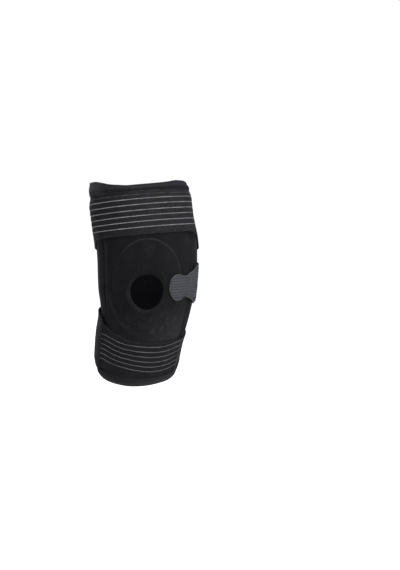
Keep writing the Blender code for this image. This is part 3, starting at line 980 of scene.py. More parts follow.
@dataclass(frozen=True)
class Stitches:
    """A row of thread along a path on the cloth."""

    pitch: float = 0.0030
    fill: float = 0.70
    width: float = 0.00062
    height: float = 0.00045

    def sew(self, edit: bmesh.types.BMesh, path: Array, outward: Array) -> None:
        """Adds one rounded stitch for each step along a path.

        Args:
            edit: the mesh that gets the stitches.
            path: points along the seam, in metres.
            outward: the cloth's direction out at each point.
        """
        steps = np.linalg.norm(np.diff(path, axis=0), axis=1)
        along = np.concatenate([[0.0], np.cumsum(steps)])
        count = max(int(round(along[-1] / self.pitch)), 1)
        middles = (np.arange(count) + 0.5) * along[-1] / count
        half = 0.5 * self.fill * along[-1] / count
        for middle in middles:
            ends = [self._at(path, along, middle + way * half) for way in (-1, 1)]
            out = Vector(self._at(outward, along, middle)).normalized()
            line = Vector(ends[1] - ends[0])
            ahead = line.normalized()
            side = out.cross(ahead).normalized()
            turn = Matrix((ahead, side, ahead.cross(side))).transposed().to_4x4()
            size = Matrix.Diagonal((line.length / 2, self.width / 2, self.height, 1.0))
            spot = Matrix.Translation(Vector(ends[0] + ends[1]) / 2)
            bmesh.ops.create_uvsphere(edit, u_segments=6, v_segments=4, radius=1.0, matrix=spot @ turn @ size)

    @staticmethod
    def _at(points: Array, along: Array, place: float) -> Array:
        """The point at a place along the path."""
        return np.array([np.interp(place, along, points[:, k]) for k in range(3)])


class Seamstress:
    """Sews the rows of stitches of one piece."""

    def __init__(self, name: str, thread: bpy.types.Material) -> None:
        """Starts a piece of thread with this name.

        Args:
            name: the piece's name.
            thread: the thread's material.
        """
        self.name, self.thread, self.kind = name, thread, Stitches()
        self.edit = bmesh.new()
        self.edit.loops.layers.uv.new("cloth")

    def row(self, angle: Array, height: Array, out: Callable[[Array, Array], Array] | Array) -> None:
        """Sews one row over places on the leg.

        Args:
            angle: angles along the row in degrees.
            height: heights along the row.
            out: how far out the cloth's face is there, or what gives it from angle and height.
        """
        face = out(angle, height) if callable(out) else out
        path = LEG.place(angle, height, face)
        self.kind.sew(self.edit, path, LEG.place(angle, height, face + 0.001) - path)

    def done(self, slot: Slot) -> bpy.types.Object:
        """Makes the thread a piece of the scene.

        Args:
            slot: what the thread is made of.

        Returns:
            The thread's object.
        """
        layer = self.edit.loops.layers.uv["cloth"]
        for face in self.edit.faces:
            for loop in face.loops:
                loop[layer].uv = (loop.vert.co.x, loop.vert.co.z)
        return settle(finished(self.edit, self.name, self.thread), slot)


@dataclass(frozen=True)
class Sleeve:
    """The neoprene tube with its open hole and the raised ring round it."""

    palette: Palette
    wall: float = 0.003
    columns: int = 240
    rows: int = 150
    hole_rings: int = 12
    seam_ring: int = 28
    window_rings: int = 35
    seam_depth: float = 0.0009
    seam_width: float = 0.0030
    flare: float = 0.0013
    flare_reach: float = 0.006
    hem_row: float = 0.0047
    hem_depth: float = 0.0006
    edge_radius: float = 0.0016

    def hole(self, turn: Array) -> tuple[Array, Array]:
        """The angle and height of the hole's edge at a turn in radians from the medial side.

        Args:
            turn: turns in radians.

        Returns:
            The angles in degrees and the heights in metres.
        """
        c, s = np.cos(turn), np.sin(turn)
        height = LEG.hole_centre_height + LEG.hole_half_height * s
        return LEG.angle_at(LEG.hole_half_width * c * (1 + 0.04 * s), height), height

    def ring(self, turn: Array, share: float) -> tuple[Array, Array]:
        """The angle and height at a share of the ring's half sizes."""
        height = LEG.ring_centre_height + LEG.ring_half_height * share * np.sin(turn)
        return LEG.angle_at(LEG.ring_half_width * share * np.cos(turn), height), height

    def regular(self, i: Array, j: Array) -> tuple[Array, Array]:
        """The angle and height of a crossing of the plain grid.

        Args:
            i: columns of the grid.
            j: rows of the grid.

        Returns:
            The angles in degrees and the heights in metres.
        """
        angle = -180.0 + 360.0 * i / self.columns
        low, high = LEG.edge(angle, 1), LEG.edge(angle, 2)
        share = dense(j / self.rows, self.rows, LEG.length, self.edge_radius)
        return angle, low + (high - low) * share

    def middle(self) -> tuple[int, int]:
        """The grid crossing behind the middle of the hole.

        Returns:
            Its column and its row.
        """
        low, high = (float(LEG.edge(np.array([0.0]), k)[0]) for k in (1, 2))
        rise = LEG.ring_centre_height - LEG.hole_centre_height
        share = (LEG.hole_centre_height + 0.35 * rise - low) / (high - low)
        return self.columns // 2, round(self.rows * share)

    def chart(self, s: Array, t: Array) -> tuple[Array, Array]:
        """The angle and height of places on the grid, pulled into rings round the hole.

        Args:
            s: places across the flat grid, from 0 to 1.
            t: places up the flat grid, from 0 to 1.

        Returns:
            The angles in degrees and the heights in metres.
        """
        i, j = s * self.columns, t * self.rows
        ic, jc = self.middle()
        di, dj = i - ic, j - jc
        ring = np.maximum(np.abs(di), np.abs(dj))
        plain = self.regular(i, j)
        near = ring < self.window_rings
        safe = np.maximum(ring, 1e-6)
        turn = np.arctan2(dj, di)
        rim = self.regular(ic + self.window_rings * di / safe, jc + self.window_rings * dj / safe)
        hole, seam = self.hole(turn), self.ring(turn, LEG.ring_foot[1])
        inner_stops = self._stops()
        inner = np.interp(ring, np.arange(self.hole_rings, self.seam_ring + 1), inner_stops)
        even_stops = np.linspace(0.33, 1.0, self.window_rings - self.seam_ring - 2)
        outer_stops = np.array([0.0, 0.05, 0.16, *even_stops])
        outer = np.interp(ring, np.arange(self.seam_ring, self.window_rings + 1), outer_stops)
        found = []
        for k in range(2):
            inside = hole[k] + (seam[k] - hole[k]) * inner
            outside = seam[k] + (rim[k] - seam[k]) * outer
            found.append(np.where(near, np.where(ring <= self.seam_ring, inside, outside), plain[k]))
        return found[0], found[1]

    def _stops(self) -> Array:
        """How far out from the hole to the seam each ring of faces lies, from 0 to 1.

        Returns:
            The shares, ring by ring.
        """
        count = self.seam_ring - self.hole_rings + 1
        start = [0.0, 0.012, 0.035, 0.075, 0.130, 0.165, 0.205]
        end = [0.93, 0.972, 1.0]
        middle = np.linspace(start[-1], end[0], count - len(start) - len(end) + 2)[1:-1]
        return np.array([*start, *middle, *end])

    def folds(self, angle: Array, height: Array) -> Array:
        """The sleeve's own relief: wrinkles where the leg bends, and soft bumps.

        Args:
            angle: angles round the leg in degrees.
            height: heights along the leg in metres.

        Returns:
            The distances in metres.
        """
        u, v = LEG.cloth(angle, height)
        total = 0.00022 * ripple(u, v, 0.012, 3) + self.side_folds(angle, height)
        total += 0.00105 * self.mottled(angle, height)
        over_calf = bump(height, -0.047, 0.014) * bump(angle, 5.0, 90.0)
        bent = height + 0.004 * np.cos(np.radians(angle * 2))
        total += 0.0008 * over_calf * np.sin(2 * math.pi * bent / 0.0072)
        behind = np.exp(-((np.abs(angle) - 180.0) / 52.0) ** 2) * bump(height, 0.004, 0.075)
        creases = np.sin(2 * math.pi * (height + 0.006 * np.cos(np.radians(angle * 3))) / 0.017)
        return total - 0.0011 * behind * np.maximum(creases, -0.2)

    @staticmethod
    def mottled(angle: Array, height: Array) -> Array:
        """Small hills and hollows below the hole on the medial side, from about -1 to 1."""
        u, v = LEG.cloth(angle, height)
        return bump(height, -0.036, 0.030) * bump(angle, 28.0, 56.0) * ripple(u, v, 0.0065, 11)

    def side_folds(self, angle: Array, height: Array) -> Array:
        """The long soft ridge beside the lateral pocket and the arcs below the ring on that side.

        Args:
            angle: angles round the leg in degrees.
            height: heights along the leg in metres.

        Returns:
            The distances in metres.
        """
        line, along = self.side_line(height)
        ridge = bump(angle, line + 2.2, 5.0) - bump(angle, line - 2.2, 3.0)
        far = LEG.ring_distance(angle, height)
        arcs = bump(far, 1.13, 0.07) - 0.8 * bump(far, 1.21, 0.07)
        return 0.0010 * along * ridge + 0.0012 * self.low_left(angle, height) * arcs

    @staticmethod
    def side_line(height: Array) -> tuple[Array, Array]:
        """The angle of the crease beside the lateral pocket, and how strong it is at each height."""
        along = ramp(height, -0.045, -0.015) * (1 - ramp(height, 0.064, 0.072))
        return -57.3 + 0.03 * (height * 1000 - 20), along

    @staticmethod
    def low_left(angle: Array, height: Array) -> Array:
        """1 below the ring on the lateral side, fading to 0 elsewhere."""
        return ramp(-angle, 2.0, 24.0) * (1 - ramp(height, -0.012, 0.004)) * (1 - ramp(-angle, 56.0, 66.0))

    def seams(self, angle: Array, height: Array) -> Array:
        """The grooves that the sewn rows pull into the sleeve.

        Args:
            angle: angles round the leg in degrees.
            height: heights along the leg in metres.

        Returns:
            The distances in metres.
        """
        off = LEG.seam_offset(angle, height)
        ring = 0.7 * bump(off, -0.0016, 0.0022) - bump(off, 0.0012, self.seam_width)
        edge = LEG.hole_distance(angle, height)
        hem = bump(edge, self.hem_row, 0.0022) - 0.8 * bump(edge, self.hem_row + 0.0022, 0.0022)
        return self.seam_depth * ring + self.hem_depth * hem

    def sheen_and_tone_paint(self, angle: Array, height: Array) -> Array:
        """The painted highlights of the sleeve, from 0 to 1: on its raised seams, ridges and hills, on its
        medial and lower parts, and round the hole's rim low on the lateral side, with a little lighter random
        tone.

        Args:
            angle: angles round the leg in degrees.
            height: heights along the leg in metres.

        Returns:
            The shares, from 0 to 1.
        """
        u, v = LEG.cloth(angle, height)
        # Painted highlights where the ring's seam, the side crease, the arcs and the hills rise; the cloud is
        # lighter random tone.
        higher = 0.30 + 0.70 * ramp(height, 0.0, 0.055)
        welt = bump(LEG.seam_offset(angle, height), -0.0008, 0.0018) * higher
        welt = welt * (0.45 + 0.55 * ramp(angle, -42.0, -6.0))
        line, along = self.side_line(height)
        ridge = along * bump(angle, line + 2.2, 5.0)
        arcs = self.low_left(angle, height) * bump(LEG.ring_distance(angle, height), 1.13, 0.06)
        mottle = np.maximum(self.mottled(angle, height), 0.0)
        cloud = 0.10 * np.maximum(ripple(u, v, 0.016, 41), 0.0)
        # Painted light: the medial side and the lower part are lighter, and so is the hole's rim low on the
        # lateral side.
        below = 1 - ramp(height, -0.048, 0.002)
        wear_and_painted_light = 0.62 * ramp(angle, -25.0, 48.0) * below + 0.14 * ramp(angle, 8.0, 50.0)
        wear_and_painted_light = wear_and_painted_light * (1 - ramp(np.abs(angle), 70.0, 100.0)) + 0.15 * (1 - ramp(height, -0.050, -0.010))
        low_side = ramp(-angle - 220 * height, -2.0, 14.0)
        rim = low_side * (1 - ramp(LEG.hole_distance(angle, height), 0.0020, 0.0060))
        return 0.85 * welt + 0.46 * ridge + 0.60 * arcs + 0.62 * mottle + cloud + wear_and_painted_light + 0.16 * rim

    def face(self, angle: Array, height: Array) -> Array:
        """How far out the sleeve's face is, without its rounded edges."""
        lift = LEG.ring_lift(angle, height) - LEG.hole_dip(angle, height)
        return lift + self.folds(angle, height) + self.seams(angle, height)

    def lay(self, s: Array, t: Array, side: float) -> Array:
        """The points of the sleeve's inside (0) or outside (1).

        Args:
            s: places across the flat grid, from 0 to 1.
            t: places up the flat grid, from 0 to 1.
            side: 0 for the inside and 1 for the outside.

        Returns:
            One row of x, y, z for each place.
        """
        angle, height = self.chart(s, t)
        if not side:
            angle, height = self.flared(angle, height)
        low, high = LEG.edge(angle, 1), LEG.edge(angle, 2)
        near = np.minimum(np.minimum(height - low, high - height), LEG.hole_distance(angle, height))
        full = rounding(np.maximum(near, 0.0), self.edge_radius)
        outside = self.face(angle, height) - 0.5 * self.wall * (1 - full)
        drawn = LEG.ring_lift(angle, height) - LEG.hole_dip(angle, height)
        inside = drawn - self.wall + 0.5 * self.wall * (1 - full)
        return LEG.place(angle, height, outside if side else inside)

    def flared(self, angle: Array, height: Array) -> tuple[Array, Array]:
        """Moves the inside's places away from the hole, so that its wall opens towards the leg.

        Args:
            angle: angles round the leg in degrees.
            height: heights along the leg in metres.

        Returns:
            The moved angles and heights.
        """
        push = self.flare * (1 - ramp(LEG.hole_distance(angle, height), 0.0, self.flare_reach))
        side, up = LEG.across(angle, height), height - LEG.hole_centre_height
        far = np.maximum(np.hypot(side, up), 1e-6)
        return angle + np.degrees(push * side / far / LEG.cloth_radius), height + push * up / far

    def build(self) -> bpy.types.Object:
        """Makes the sleeve and its stitches.

        Returns:
            The sleeve's object.
        """
        cloth = Cloth("Sleeve", self.columns, self.rows)
        cloth.map_cloth(lambda s, t: LEG.cloth(*self.chart(s, t)))
        ic, jc = self.middle()
        cloth.cut(
            lambda s, t: np.maximum(np.abs(s * self.columns - ic), np.abs(t * self.rows - jc))
            < self.hole_rings
        )
        cloth.tone_and_sheen(lambda s, t: self.sheen_and_tone_paint(*self.chart(s, t)))
        cloth.lay(self.lay, closed=True)
        piece = settle(cloth.done(self.palette.neoprene), Slot.NEOPRENE, "sleeve")
        threads = [self.ring_stitches(), self.hem_stitches()]
        return piece

    def ring_stitches(self) -> bpy.types.Object:
        """The row round the raised ring.

        Returns:
            The thread's object.
        """
        sewing = Seamstress("RingStitches", self.palette.dark_thread)
        turn = np.linspace(0, 2 * math.pi, 361)
        angle, height = self.ring(turn, LEG.ring_foot[1])
        sewing.row(angle, height, self.face)
        return sewing.done(Slot.NEOPRENE)

    def hem_stitches(self) -> bpy.types.Object:
        """The row round the hole.

        Returns:
            The thread's object.
        """
        sewing = Seamstress("HoleStitches", self.palette.dark_thread)
        turn = np.linspace(0, 2 * math.pi, 361)
        share = 1 + self.hem_row / LEG.hole_radius
        height = LEG.hole_centre_height + LEG.hole_half_height * share * np.sin(turn)
        angle = LEG.angle_at(LEG.hole_half_width * share * np.cos(turn), height)
        sewing.row(angle, height, self.face)
        return sewing.done(Slot.NEOPRENE)


@dataclass(frozen=True)
class PatellaPad:
    """The oval pad behind the sleeve round the hole."""

    palette: Palette
    wall: float = 0.003
    gap: float = 0.0005
    edge: float = 0.0012
    width: float = 0.030
    length: float = 0.22
    radius: float = 0.0012
    columns: int = 120
    rows: int = 16

    def lay(self, s: Array, t: Array, side: float) -> Array:
        """The points of the pad's inside (0) or outside (1).

        Args:
            s: places across the flat grid, from 0 to 1.
            t: places up the flat grid, from 0 to 1.
            side: 0 for the inside and 1 for the outside.

        Returns:
            One row of x, y, z for each place.
        """
        turn = 2 * math.pi * s
        sleeve = Sleeve(self.palette)
        hole, seam = sleeve.hole(turn), sleeve.ring(turn, LEG.ring_foot[1])
        inward = dense(t, self.rows, self.width, self.radius)
        share = 0.985 - 0.985 * inward + (0.08 if side else 0.12) * t
        angle, height = (hole[k] + (seam[k] - hole[k]) * share for k in range(2))
        full = rounding(self.width * np.minimum(1 - t, t), self.radius)
        back = np.full_like(angle, -self.wall - self.gap - self.edge)
        front = LEG.ring_lift(angle, height) - LEG.hole_dip(angle, height) - self.wall - self.gap
        middle = 0.5 * (front + back)
        return LEG.place(angle, height, middle + (0.15 + 0.85 * full) * ((front if side else back) - middle))

    def build(self) -> bpy.types.Object:
        """Makes the pad.

        Returns:
            The pad's object.
        """
        cloth = Cloth("PatellaPad", self.columns, self.rows)
        cloth.map_cloth(lambda s, t: (s * self.length, t * self.width))
        cloth.lay(self.lay, closed=True)
        piece = settle(cloth.done(self.palette.neoprene), Slot.NEOPRENE, "patella_ring")
        return piece


@dataclass(frozen=True)
class Binding:
    """Tape folded over one of the sleeve's cut edges."""

    palette: Palette
    name: str
    node: str
    edge: int
    way: int
    wall: float = 0.003
    gap: float = 0.0003
    thickness: float = 0.0009
    overlap: float = 0.0014
    row_share: float = 0.80
    row_depth: float = 0.0007
    flat_width: float = 0.024
    strap_cover: float = 0.0021
    overlap_cover: float = 0.0023
    patch_cover: float = 0.0017
    columns: int = 400
    rows: int = 38

    def height_at(self, angle: Array) -> Array:
        """How far down the outside the tape reaches, a little over the strap's edge."""
        strap = self.strap_edge(angle)
        return self.way * (LEG.edge(angle, self.edge) - strap) + self.overlap

    def strap_edge(self, angle: Array) -> Array:
        """The height of the edge of the strap that the tape covers.

        Args:
            angle: angles round the leg in degrees.

        Returns:
            The heights in metres.
        """
        if self.edge == 2:
            return np.full_like(angle, LEG.strap_top)
        angle = wrapped(angle)
        turned = np.where(angle < Straps.calf[0][0], angle + 360.0, angle)
        return LEG.length * eased(Straps.calf, turned, 1)

    def cover(self, angle: Array) -> Array:
        """How far out the strap's face lies where the tape covers it.

        Args:
            angle: angles round the leg in degrees.

        Returns:
            The distances in metres.
        """
        strap = self.strap_cover + LEG.pocket_lift(angle, np.full_like(angle, LEG.strap_top))
        if self.edge == 2:
            return strap + self.overlap_cover * ramp(angle, 40.0, 58.0) * (1 - ramp(angle, 73.0, 79.0))
        return strap + self.patch_cover * ramp(-angle, 56.0, 64.0) * (1 - ramp(-angle, 122.0, 130.0))

    def face(self, angle: Array, share: Array) -> Array:
        """How far out the tape's face lies, from its fold (0) to its lower edge (1).

        Args:
            angle: angles round the leg in degrees.
            share: places from the fold (0) to the lower edge (1).

        Returns:
            The distances in metres.
        """
        u, _ = LEG.cloth(angle, share)
        scallops = 0.6 + 0.4 * np.sin(2 * math.pi * u / 0.0034)
        row = self.row_depth * bump(share, self.row_share, 0.16) * scallops
        swell = 0.0004 * np.sin(math.pi * np.clip(share / self.row_share, 0, 1))
        waves = 0.0003 * ripple(u, share * 0.01, 0.016, 7) * (1 - 0.6 * share)
        return self.gap + self.thickness + self.cover(angle) * self.lean(share) + swell + waves - row

    def lean(self, share: Array) -> Array:
        """How much of the strap's height the tape has climbed, from its fold (0) to its lower edge (1)."""
        return ramp(share, 0.05, 0.90)

    def lay(self, s: Array, t: Array, _side: float = 0.0) -> Array:
        """The points of the tape's closed profile: up the outside, round the fold and down the inside.

        Args:
            s: places across the flat grid, from 0 to 1.
            t: places up the flat grid, from 0 to 1.
            _side: not used, because the profile is closed.

        Returns:
            One row of x, y, z for each place.
        """
        angle = -180.0 + 360.0 * s
        height = LEG.edge(angle, self.edge)
        tall = self.height_at(angle)
        thick, gap, wall = self.thickness, self.gap, self.wall
        # Corners of the profile: distance out, rise past the edge as a share, steps to the next corner.
        corners = (
            (gap, -1.0, 1), (gap + thick, -0.97, 14), (gap + thick, 0.0, 2), (gap + thick * 0.8, 0.55, 2),
            (gap - 0.3 * thick, 1.0, 2), (-0.5 * wall, 1.15, 2), (thick - wall, 1.0, 2),
            (-wall - gap - thick * 0.8, 0.4, 3), (-wall - gap - thick, -0.93, 1), (-wall - gap, -1.0, 3),
            (-wall - gap, 0.05, 1), (-wall * 0.5, 0.15, 1), (gap, 0.05, 4), (gap, -1.0, 0),
        )
        around = np.concatenate([[0], np.cumsum([corner[2] for corner in corners[:-1]])]) / self.rows
        out = np.interp(t, around, [corner[0] for corner in corners])
        share = np.interp(t, around, [corner[1] for corner in corners])
        rise = np.where(share < 0, share * tall, share * (gap + thick))
        outside = (t <= around[2] + 1e-6) & (t >= around[1] - 1e-6)
        under = (t > around[12] - 1e-6) | (t < around[1] - 1e-6)
        lean = self.cover(angle) * self.lean(-share)
        out = np.where(outside, self.face(angle, -share), out)
        out = np.where(under, out + np.where(share < 0, lean, 0.0), out)
        return LEG.place(angle, height + self.way * rise, out)

    def sheen_and_tone_paint(self, s: Array, t: Array) -> Array:
        """Painted highlights on the tape: on its outer face near the fold, at the top tape's lateral corner
        and more towards the bottom tape's medial front.

        Args:
            s: places across the flat grid, from 0 to 1.
            t: places up the flat grid, from 0 to 1.

        Returns:
            The shares, from 0 to 1.
        """
        angle = -180.0 + 360.0 * s
        if self.edge == 2:
            corner = 0.75 * ramp(-angle, 36.0, 58.0) * (1 - ramp(-angle, 95.0, 120.0))
            return corner + 0.36 * bump(t, 0.29, 0.22)
        corner = 0.12 + 0.26 * ramp(angle, -20.0, 30.0) * (1 - ramp(angle, 80.0, 110.0))
        return corner + 0.65 * bump(t, 0.37, 0.16)

    def build(self) -> bpy.types.Object:
        """Makes the tape and its row of stitches.

        Returns:
            The tape's object.
        """
        cloth = Cloth(self.name, self.columns, self.rows)
        cloth.map_cloth(lambda s, t: (s * LEG.girth, t * self.flat_width))
        cloth.tone_and_sheen(self.sheen_and_tone_paint)
        cloth.settle_profile(self.lay)
        piece = settle(cloth.done(self.palette.tape), Slot.TAPE, self.node)
        # Painted shade: the top tape's row takes the dark thread, which stands for its shaded stitch holes.
        thread = self.palette.dark_thread if self.edge == 2 else self.palette.thread
        sewing = Seamstress(self.name + "Stitches", thread)
        angle = np.linspace(-180, 180, 721)
        height = LEG.edge(angle, self.edge) - self.way * self.row_share * self.height_at(angle)
        sewing.row(angle, height, self.face(angle, np.full_like(angle, self.row_share)))
        stitches = sewing.done(Slot.TAPE)
        return piece


@dataclass(frozen=True)
class Strip:
    """A strip of cloth laid on the leg between two edges."""

    palette: Palette
    name: str
    node: str
    rows_of_edges: tuple[Row, ...]
    thickness: float
    slot: Slot
    columns: int
    rows: int
    base: float = 0.0003
    radius: float = 0.0012
    edge_left: float = 0.3
    # Painted highlight along the edges, and a patchy lighter tone.
    rim_highlight: float = 0.35
    wear_and_painted_light: float = 0.0
    inset: float = 0.0022

    def place_of(self, s: Array, t: Array) -> tuple[Array, Array]:
        """The angle and height of places on the strip's flat grid.

        Args:
            s: places across the flat grid, from 0 to 1.
            t: places up the flat grid, from 0 to 1.

        Returns:
            The angles in degrees and the heights in metres.
        """
        first, last = self.rows_of_edges[0][0], self.rows_of_edges[-1][0]
        wide = math.radians(abs(last - first)) * LEG.cloth_radius
        angle = first + (last - first) * dense(s, self.columns, wide, self.radius)
        low, high = self.ends(angle)
        share = dense(t, self.rows, float(np.mean(high - low)), self.radius)
        return angle, low + (high - low) * share

    def ends(self, angle: Array) -> tuple[Array, Array]:
        """The heights of the strip's bottom and top edge."""
        return tuple(LEG.length * eased(self.rows_of_edges, angle, k) for k in (1, 2))

    def rim(self, angle: Array, height: Array) -> Array:
        """How far inside the nearest edge a place is.

        Args:
            angle: angles round the leg in degrees.
            height: heights along the leg in metres.

        Returns:
            The distances in metres.
        """
        low, high = self.ends(angle)
        first, last = sorted((self.rows_of_edges[0][0], self.rows_of_edges[-1][0]))
        aside = np.radians(np.minimum(angle - first, last - angle)) * LEG.cloth_radius
        return np.maximum(np.minimum(aside, np.minimum(height - low, high - height)), 0.0)

    def lift(self, angle: Array, height: Array) -> Array:
        """How far out from the sleeve the strip's inside lies."""
        return self.base + LEG.pocket_lift(angle, height) + LEG.ring_lift(angle, height)

    def relief(self, angle: Array, height: Array) -> Array:
        """The strip's own relief on its face."""
        u, v = LEG.cloth(angle, height)
        return 0.00015 * ripple(u, v, 0.014, 5)

    def face(self, angle: Array, height: Array) -> Array:
        """How far out the strip's face lies."""
        return self.lift(angle, height) + self.thickness + self.relief(angle, height)

    def sheen_and_tone_paint(self, angle: Array, height: Array) -> Array:
        """Painted highlights along the strip's edges, and a patchy lighter tone.

        Args:
            angle: angles round the leg in degrees.
            height: heights along the leg in metres.

        Returns:
            The shares, from 0 to 1.
        """
        u, v = LEG.cloth(angle, height)
        patchy = self.wear_and_painted_light * (1 + 0.6 * ripple(u, v, 0.008, 37))
        return self.rim_highlight * bump(self.rim(angle, height), 0.0010, 0.0022) + patchy

    def lay(self, s: Array, t: Array, side: float) -> Array:
        """The points of the strip's inside (0) or outside (1).

        Args:
            s: places across the flat grid, from 0 to 1.
            t: places up the flat grid, from 0 to 1.
            side: 0 for the inside and 1 for the outside.

        Returns:
            One row of x, y, z for each place.
        """
        angle, height = self.place_of(s, t)
        full = rounding(self.rim(angle, height), self.radius)
        inside = self.lift(angle, height)
        left = self.edge_left + (1 - self.edge_left) * full
        outside = inside + left * (self.face(angle, height) - inside)
        return LEG.place(angle, height, outside if side else inside)

    def cloth_map(self, s: Array, t: Array) -> tuple[Array, Array]:
        """Places on the flat cloth for the weave."""
        return LEG.cloth(*self.place_of(s, t))

    def material(self) -> bpy.types.Material:
        """The strip's finish."""
        return self.palette.loop

    def sew(self, sewing: Seamstress) -> None:
        """Sews a row inside the strip's edges.

        Args:
            sewing: who sews the strip's thread.
        """
        first, last = sorted((self.rows_of_edges[0][0], self.rows_of_edges[-1][0]))
        step = math.degrees(self.inset / LEG.cloth_radius)
        angle = np.linspace(first + step, last - step, 400)
        low, high = self.ends(angle)
        sewing.row(angle, high - self.inset, self.face)
        sewing.row(angle, low + self.inset, self.face)
        for end in (angle[0], angle[-1]):
            bottom, top = (float(e[0]) for e in self.ends(np.array([end])))
            height = np.linspace(bottom + self.inset, top - self.inset, 100)
            sewing.row(np.full_like(height, end), height, self.face)

    def build(self) -> bpy.types.Object:
        """Makes the strip and its stitches.

        Returns:
            The strip's object.
        """
        cloth = Cloth(self.name, self.columns, self.rows)
        cloth.map_cloth(self.cloth_map)
        cloth.tone_and_sheen(lambda s, t: self.sheen_and_tone_paint(*self.place_of(s, t)))
        cloth.lay(self.lay)
        piece = settle(cloth.done(self.material()), self.slot, self.node)
        sewing = Seamstress(self.name + "Stitches", self.palette.thread)
        self.sew(sewing)
        thread = sewing.done(self.slot)
        angle = np.linspace(self.rows_of_edges[0][0], self.rows_of_edges[-1][0], 200)
        low, high = self.ends(angle)
        return piece


@dataclass(frozen=True)
class LinedStrap(Strip):
    """Elastic with light lines woven along it."""

    lines: tuple[float, float, int] = THIGH_LINES
    line_rise: float = 0.00022
    # Painted highlights across the front and low at the lateral corner.
    front_highlight: float = 0.50
    fold: float = 0.0
    corner_highlight: float = 0.0
    overlap: tuple[float, float] | None = None

    def lift(self, angle: Array, height: Array) -> Array:
        """How far out the strap's inside lies, over its own other end too.

        Args:
            angle: angles round the leg in degrees.
            height: heights along the leg in metres.

        Returns:
            The distances in metres.
        """
        found = super().lift(angle, height)
        if self.overlap:
            found = found + (self.thickness + self.base) * ramp(angle, *self.overlap)
        return found

    def line_height(self, angle: Array, height: Array) -> Array:
        """The height that a place would have if the lines ran level."""
        return height

    def sheen_and_tone_paint(self, angle: Array, height: Array) -> Array:
        """Painted highlights on the strap: along its edges, across its front and medial side where the lamps
        light it most, and low at its lateral corner.

        Args:
            angle: angles round the leg in degrees.
            height: heights along the leg in metres.

        Returns:
            The shares, from 0 to 1.
        """
        u, v = LEG.cloth(angle, height)
        lit_front = ramp(angle, -38.0, 12.0) * (1 - ramp(angle, 72.0, 90.0))
        patchy = 0.75 + 0.25 * ripple(u, v, 0.010, 31) + 0.20 * ripple(u, v, 0.003, 47)
        corner = ramp(-angle, 58.0, 70.0) * (1 - ramp(-angle, 100.0, 120.0))
        corner = self.corner_highlight * corner * (1 - ramp(height, 0.066, 0.075))
        return super().sheen_and_tone_paint(angle, height) + self.front_highlight * lit_front * patchy + corner

    def relief(self, angle: Array, height: Array) -> Array:
        """Raised lines, puckered cloth between them and soft waves.

        Args:
            angle: angles round the leg in degrees.
            height: heights along the leg in metres.

        Returns:
            The distances in metres.
        """
        u, v = LEG.cloth(angle, height)
        first, step, count = (self.lines[0] * LEG.length, self.lines[1] * LEG.length, self.lines[2])
        steps = (self.line_height(angle, height) - first) / step
        nearest = np.clip(np.round(steps), 0, count - 1)
        line = bump((steps - nearest) * step, 0.0, 0.0012)
        inside = ramp(steps, -0.5, 0.0) * (1 - ramp(steps, count - 1, count - 0.5))
        swell = 0.5 - 0.5 * np.cos(2 * math.pi * steps)
        gathers = np.sin(2 * math.pi * (u + 0.0012 * ripple(u, v, 0.012, 29)) / 0.0037)
        pucker = 0.00016 * inside * swell * gathers
        fold = self.fold * bump(angle, -59.0, 5.0) * ramp(height, 0.114, 0.122)
        waves = 0.0003 * ripple(u, v * 0.5, 0.011, 13)
        return self.line_rise * line + 0.0003 * inside * swell + pucker + waves - fold

    def cloth_map(self, s: Array, t: Array) -> tuple[Array, Array]:
        """Places on the flat cloth, with the lines level."""
        angle, height = self.place_of(s, t)
        return np.radians(angle) * LEG.cloth_radius, self.line_height(angle, height)

    def material(self) -> bpy.types.Material:
        """The elastic's finish."""
        return self.palette.thigh


@dataclass(frozen=True)
class CalfStrap(LinedStrap):
    """The lower strap, whose lines dip in front."""

    # Angle, then the lowest and the highest line as shares of the length.
    line_rows: tuple[Row, ...] = (
        (-63.0, -0.3464, -0.2245),
        (-45.0, -0.3455, -0.2240),
        (-19.0, -0.3480, -0.2310),
        (1.0, -0.3555, -0.2310),
        (23.0, -0.3618, -0.2310),
        (51.0, -0.3627, -0.2250),
        (67.0, -0.3466, -0.2230),
        (180.0, -0.3450, -0.2210),
        (283.0, -0.3450, -0.2210),
    )

    def line_height(self, angle: Array, height: Array) -> Array:
        """The height that a place would have if the lines ran level.

        Args:
            angle: angles round the leg in degrees.
            height: heights along the leg in metres.

        Returns:
            The heights in metres.
        """
        low, high = (LEG.length * eased(self.line_rows, angle, k) for k in (1, 2))
        first, step, count = self.lines
        share = (height - low) / (high - low)
        return LEG.length * (first + share * step * (count - 1))

    def material(self) -> bpy.types.Material:
        """The elastic's finish."""
        return self.palette.calf


@dataclass(frozen=True)
class HookTab(Strip):
    """The grey tab with its lobe, neck and flared root."""

    rise: tuple[float, float] = (50.0, 68.0)
    over: float = 0.0021

    def lift(self, angle: Array, height: Array) -> Array:
        """How far out the tab's inside lies, over the side strap's end too."""
        return super().lift(angle, height) + self.over * ramp(angle, *self.rise)

    def relief(self, angle: Array, height: Array) -> Array:
        """Fine ribs along the tab.

        Args:
            angle: angles round the leg in degrees.
            height: heights along the leg in metres.

        Returns:
            The distances in metres.
        """
        u, v = LEG.cloth(angle, height)
        ribs = 0.00030 * np.sin(2 * math.pi * (v + 0.04 * u) / 0.0030)
        return ribs + 0.0002 * ripple(u, v, 0.010, 17)

    def material(self) -> bpy.types.Material:
        """The tab's grey finish."""
        return self.palette.hook


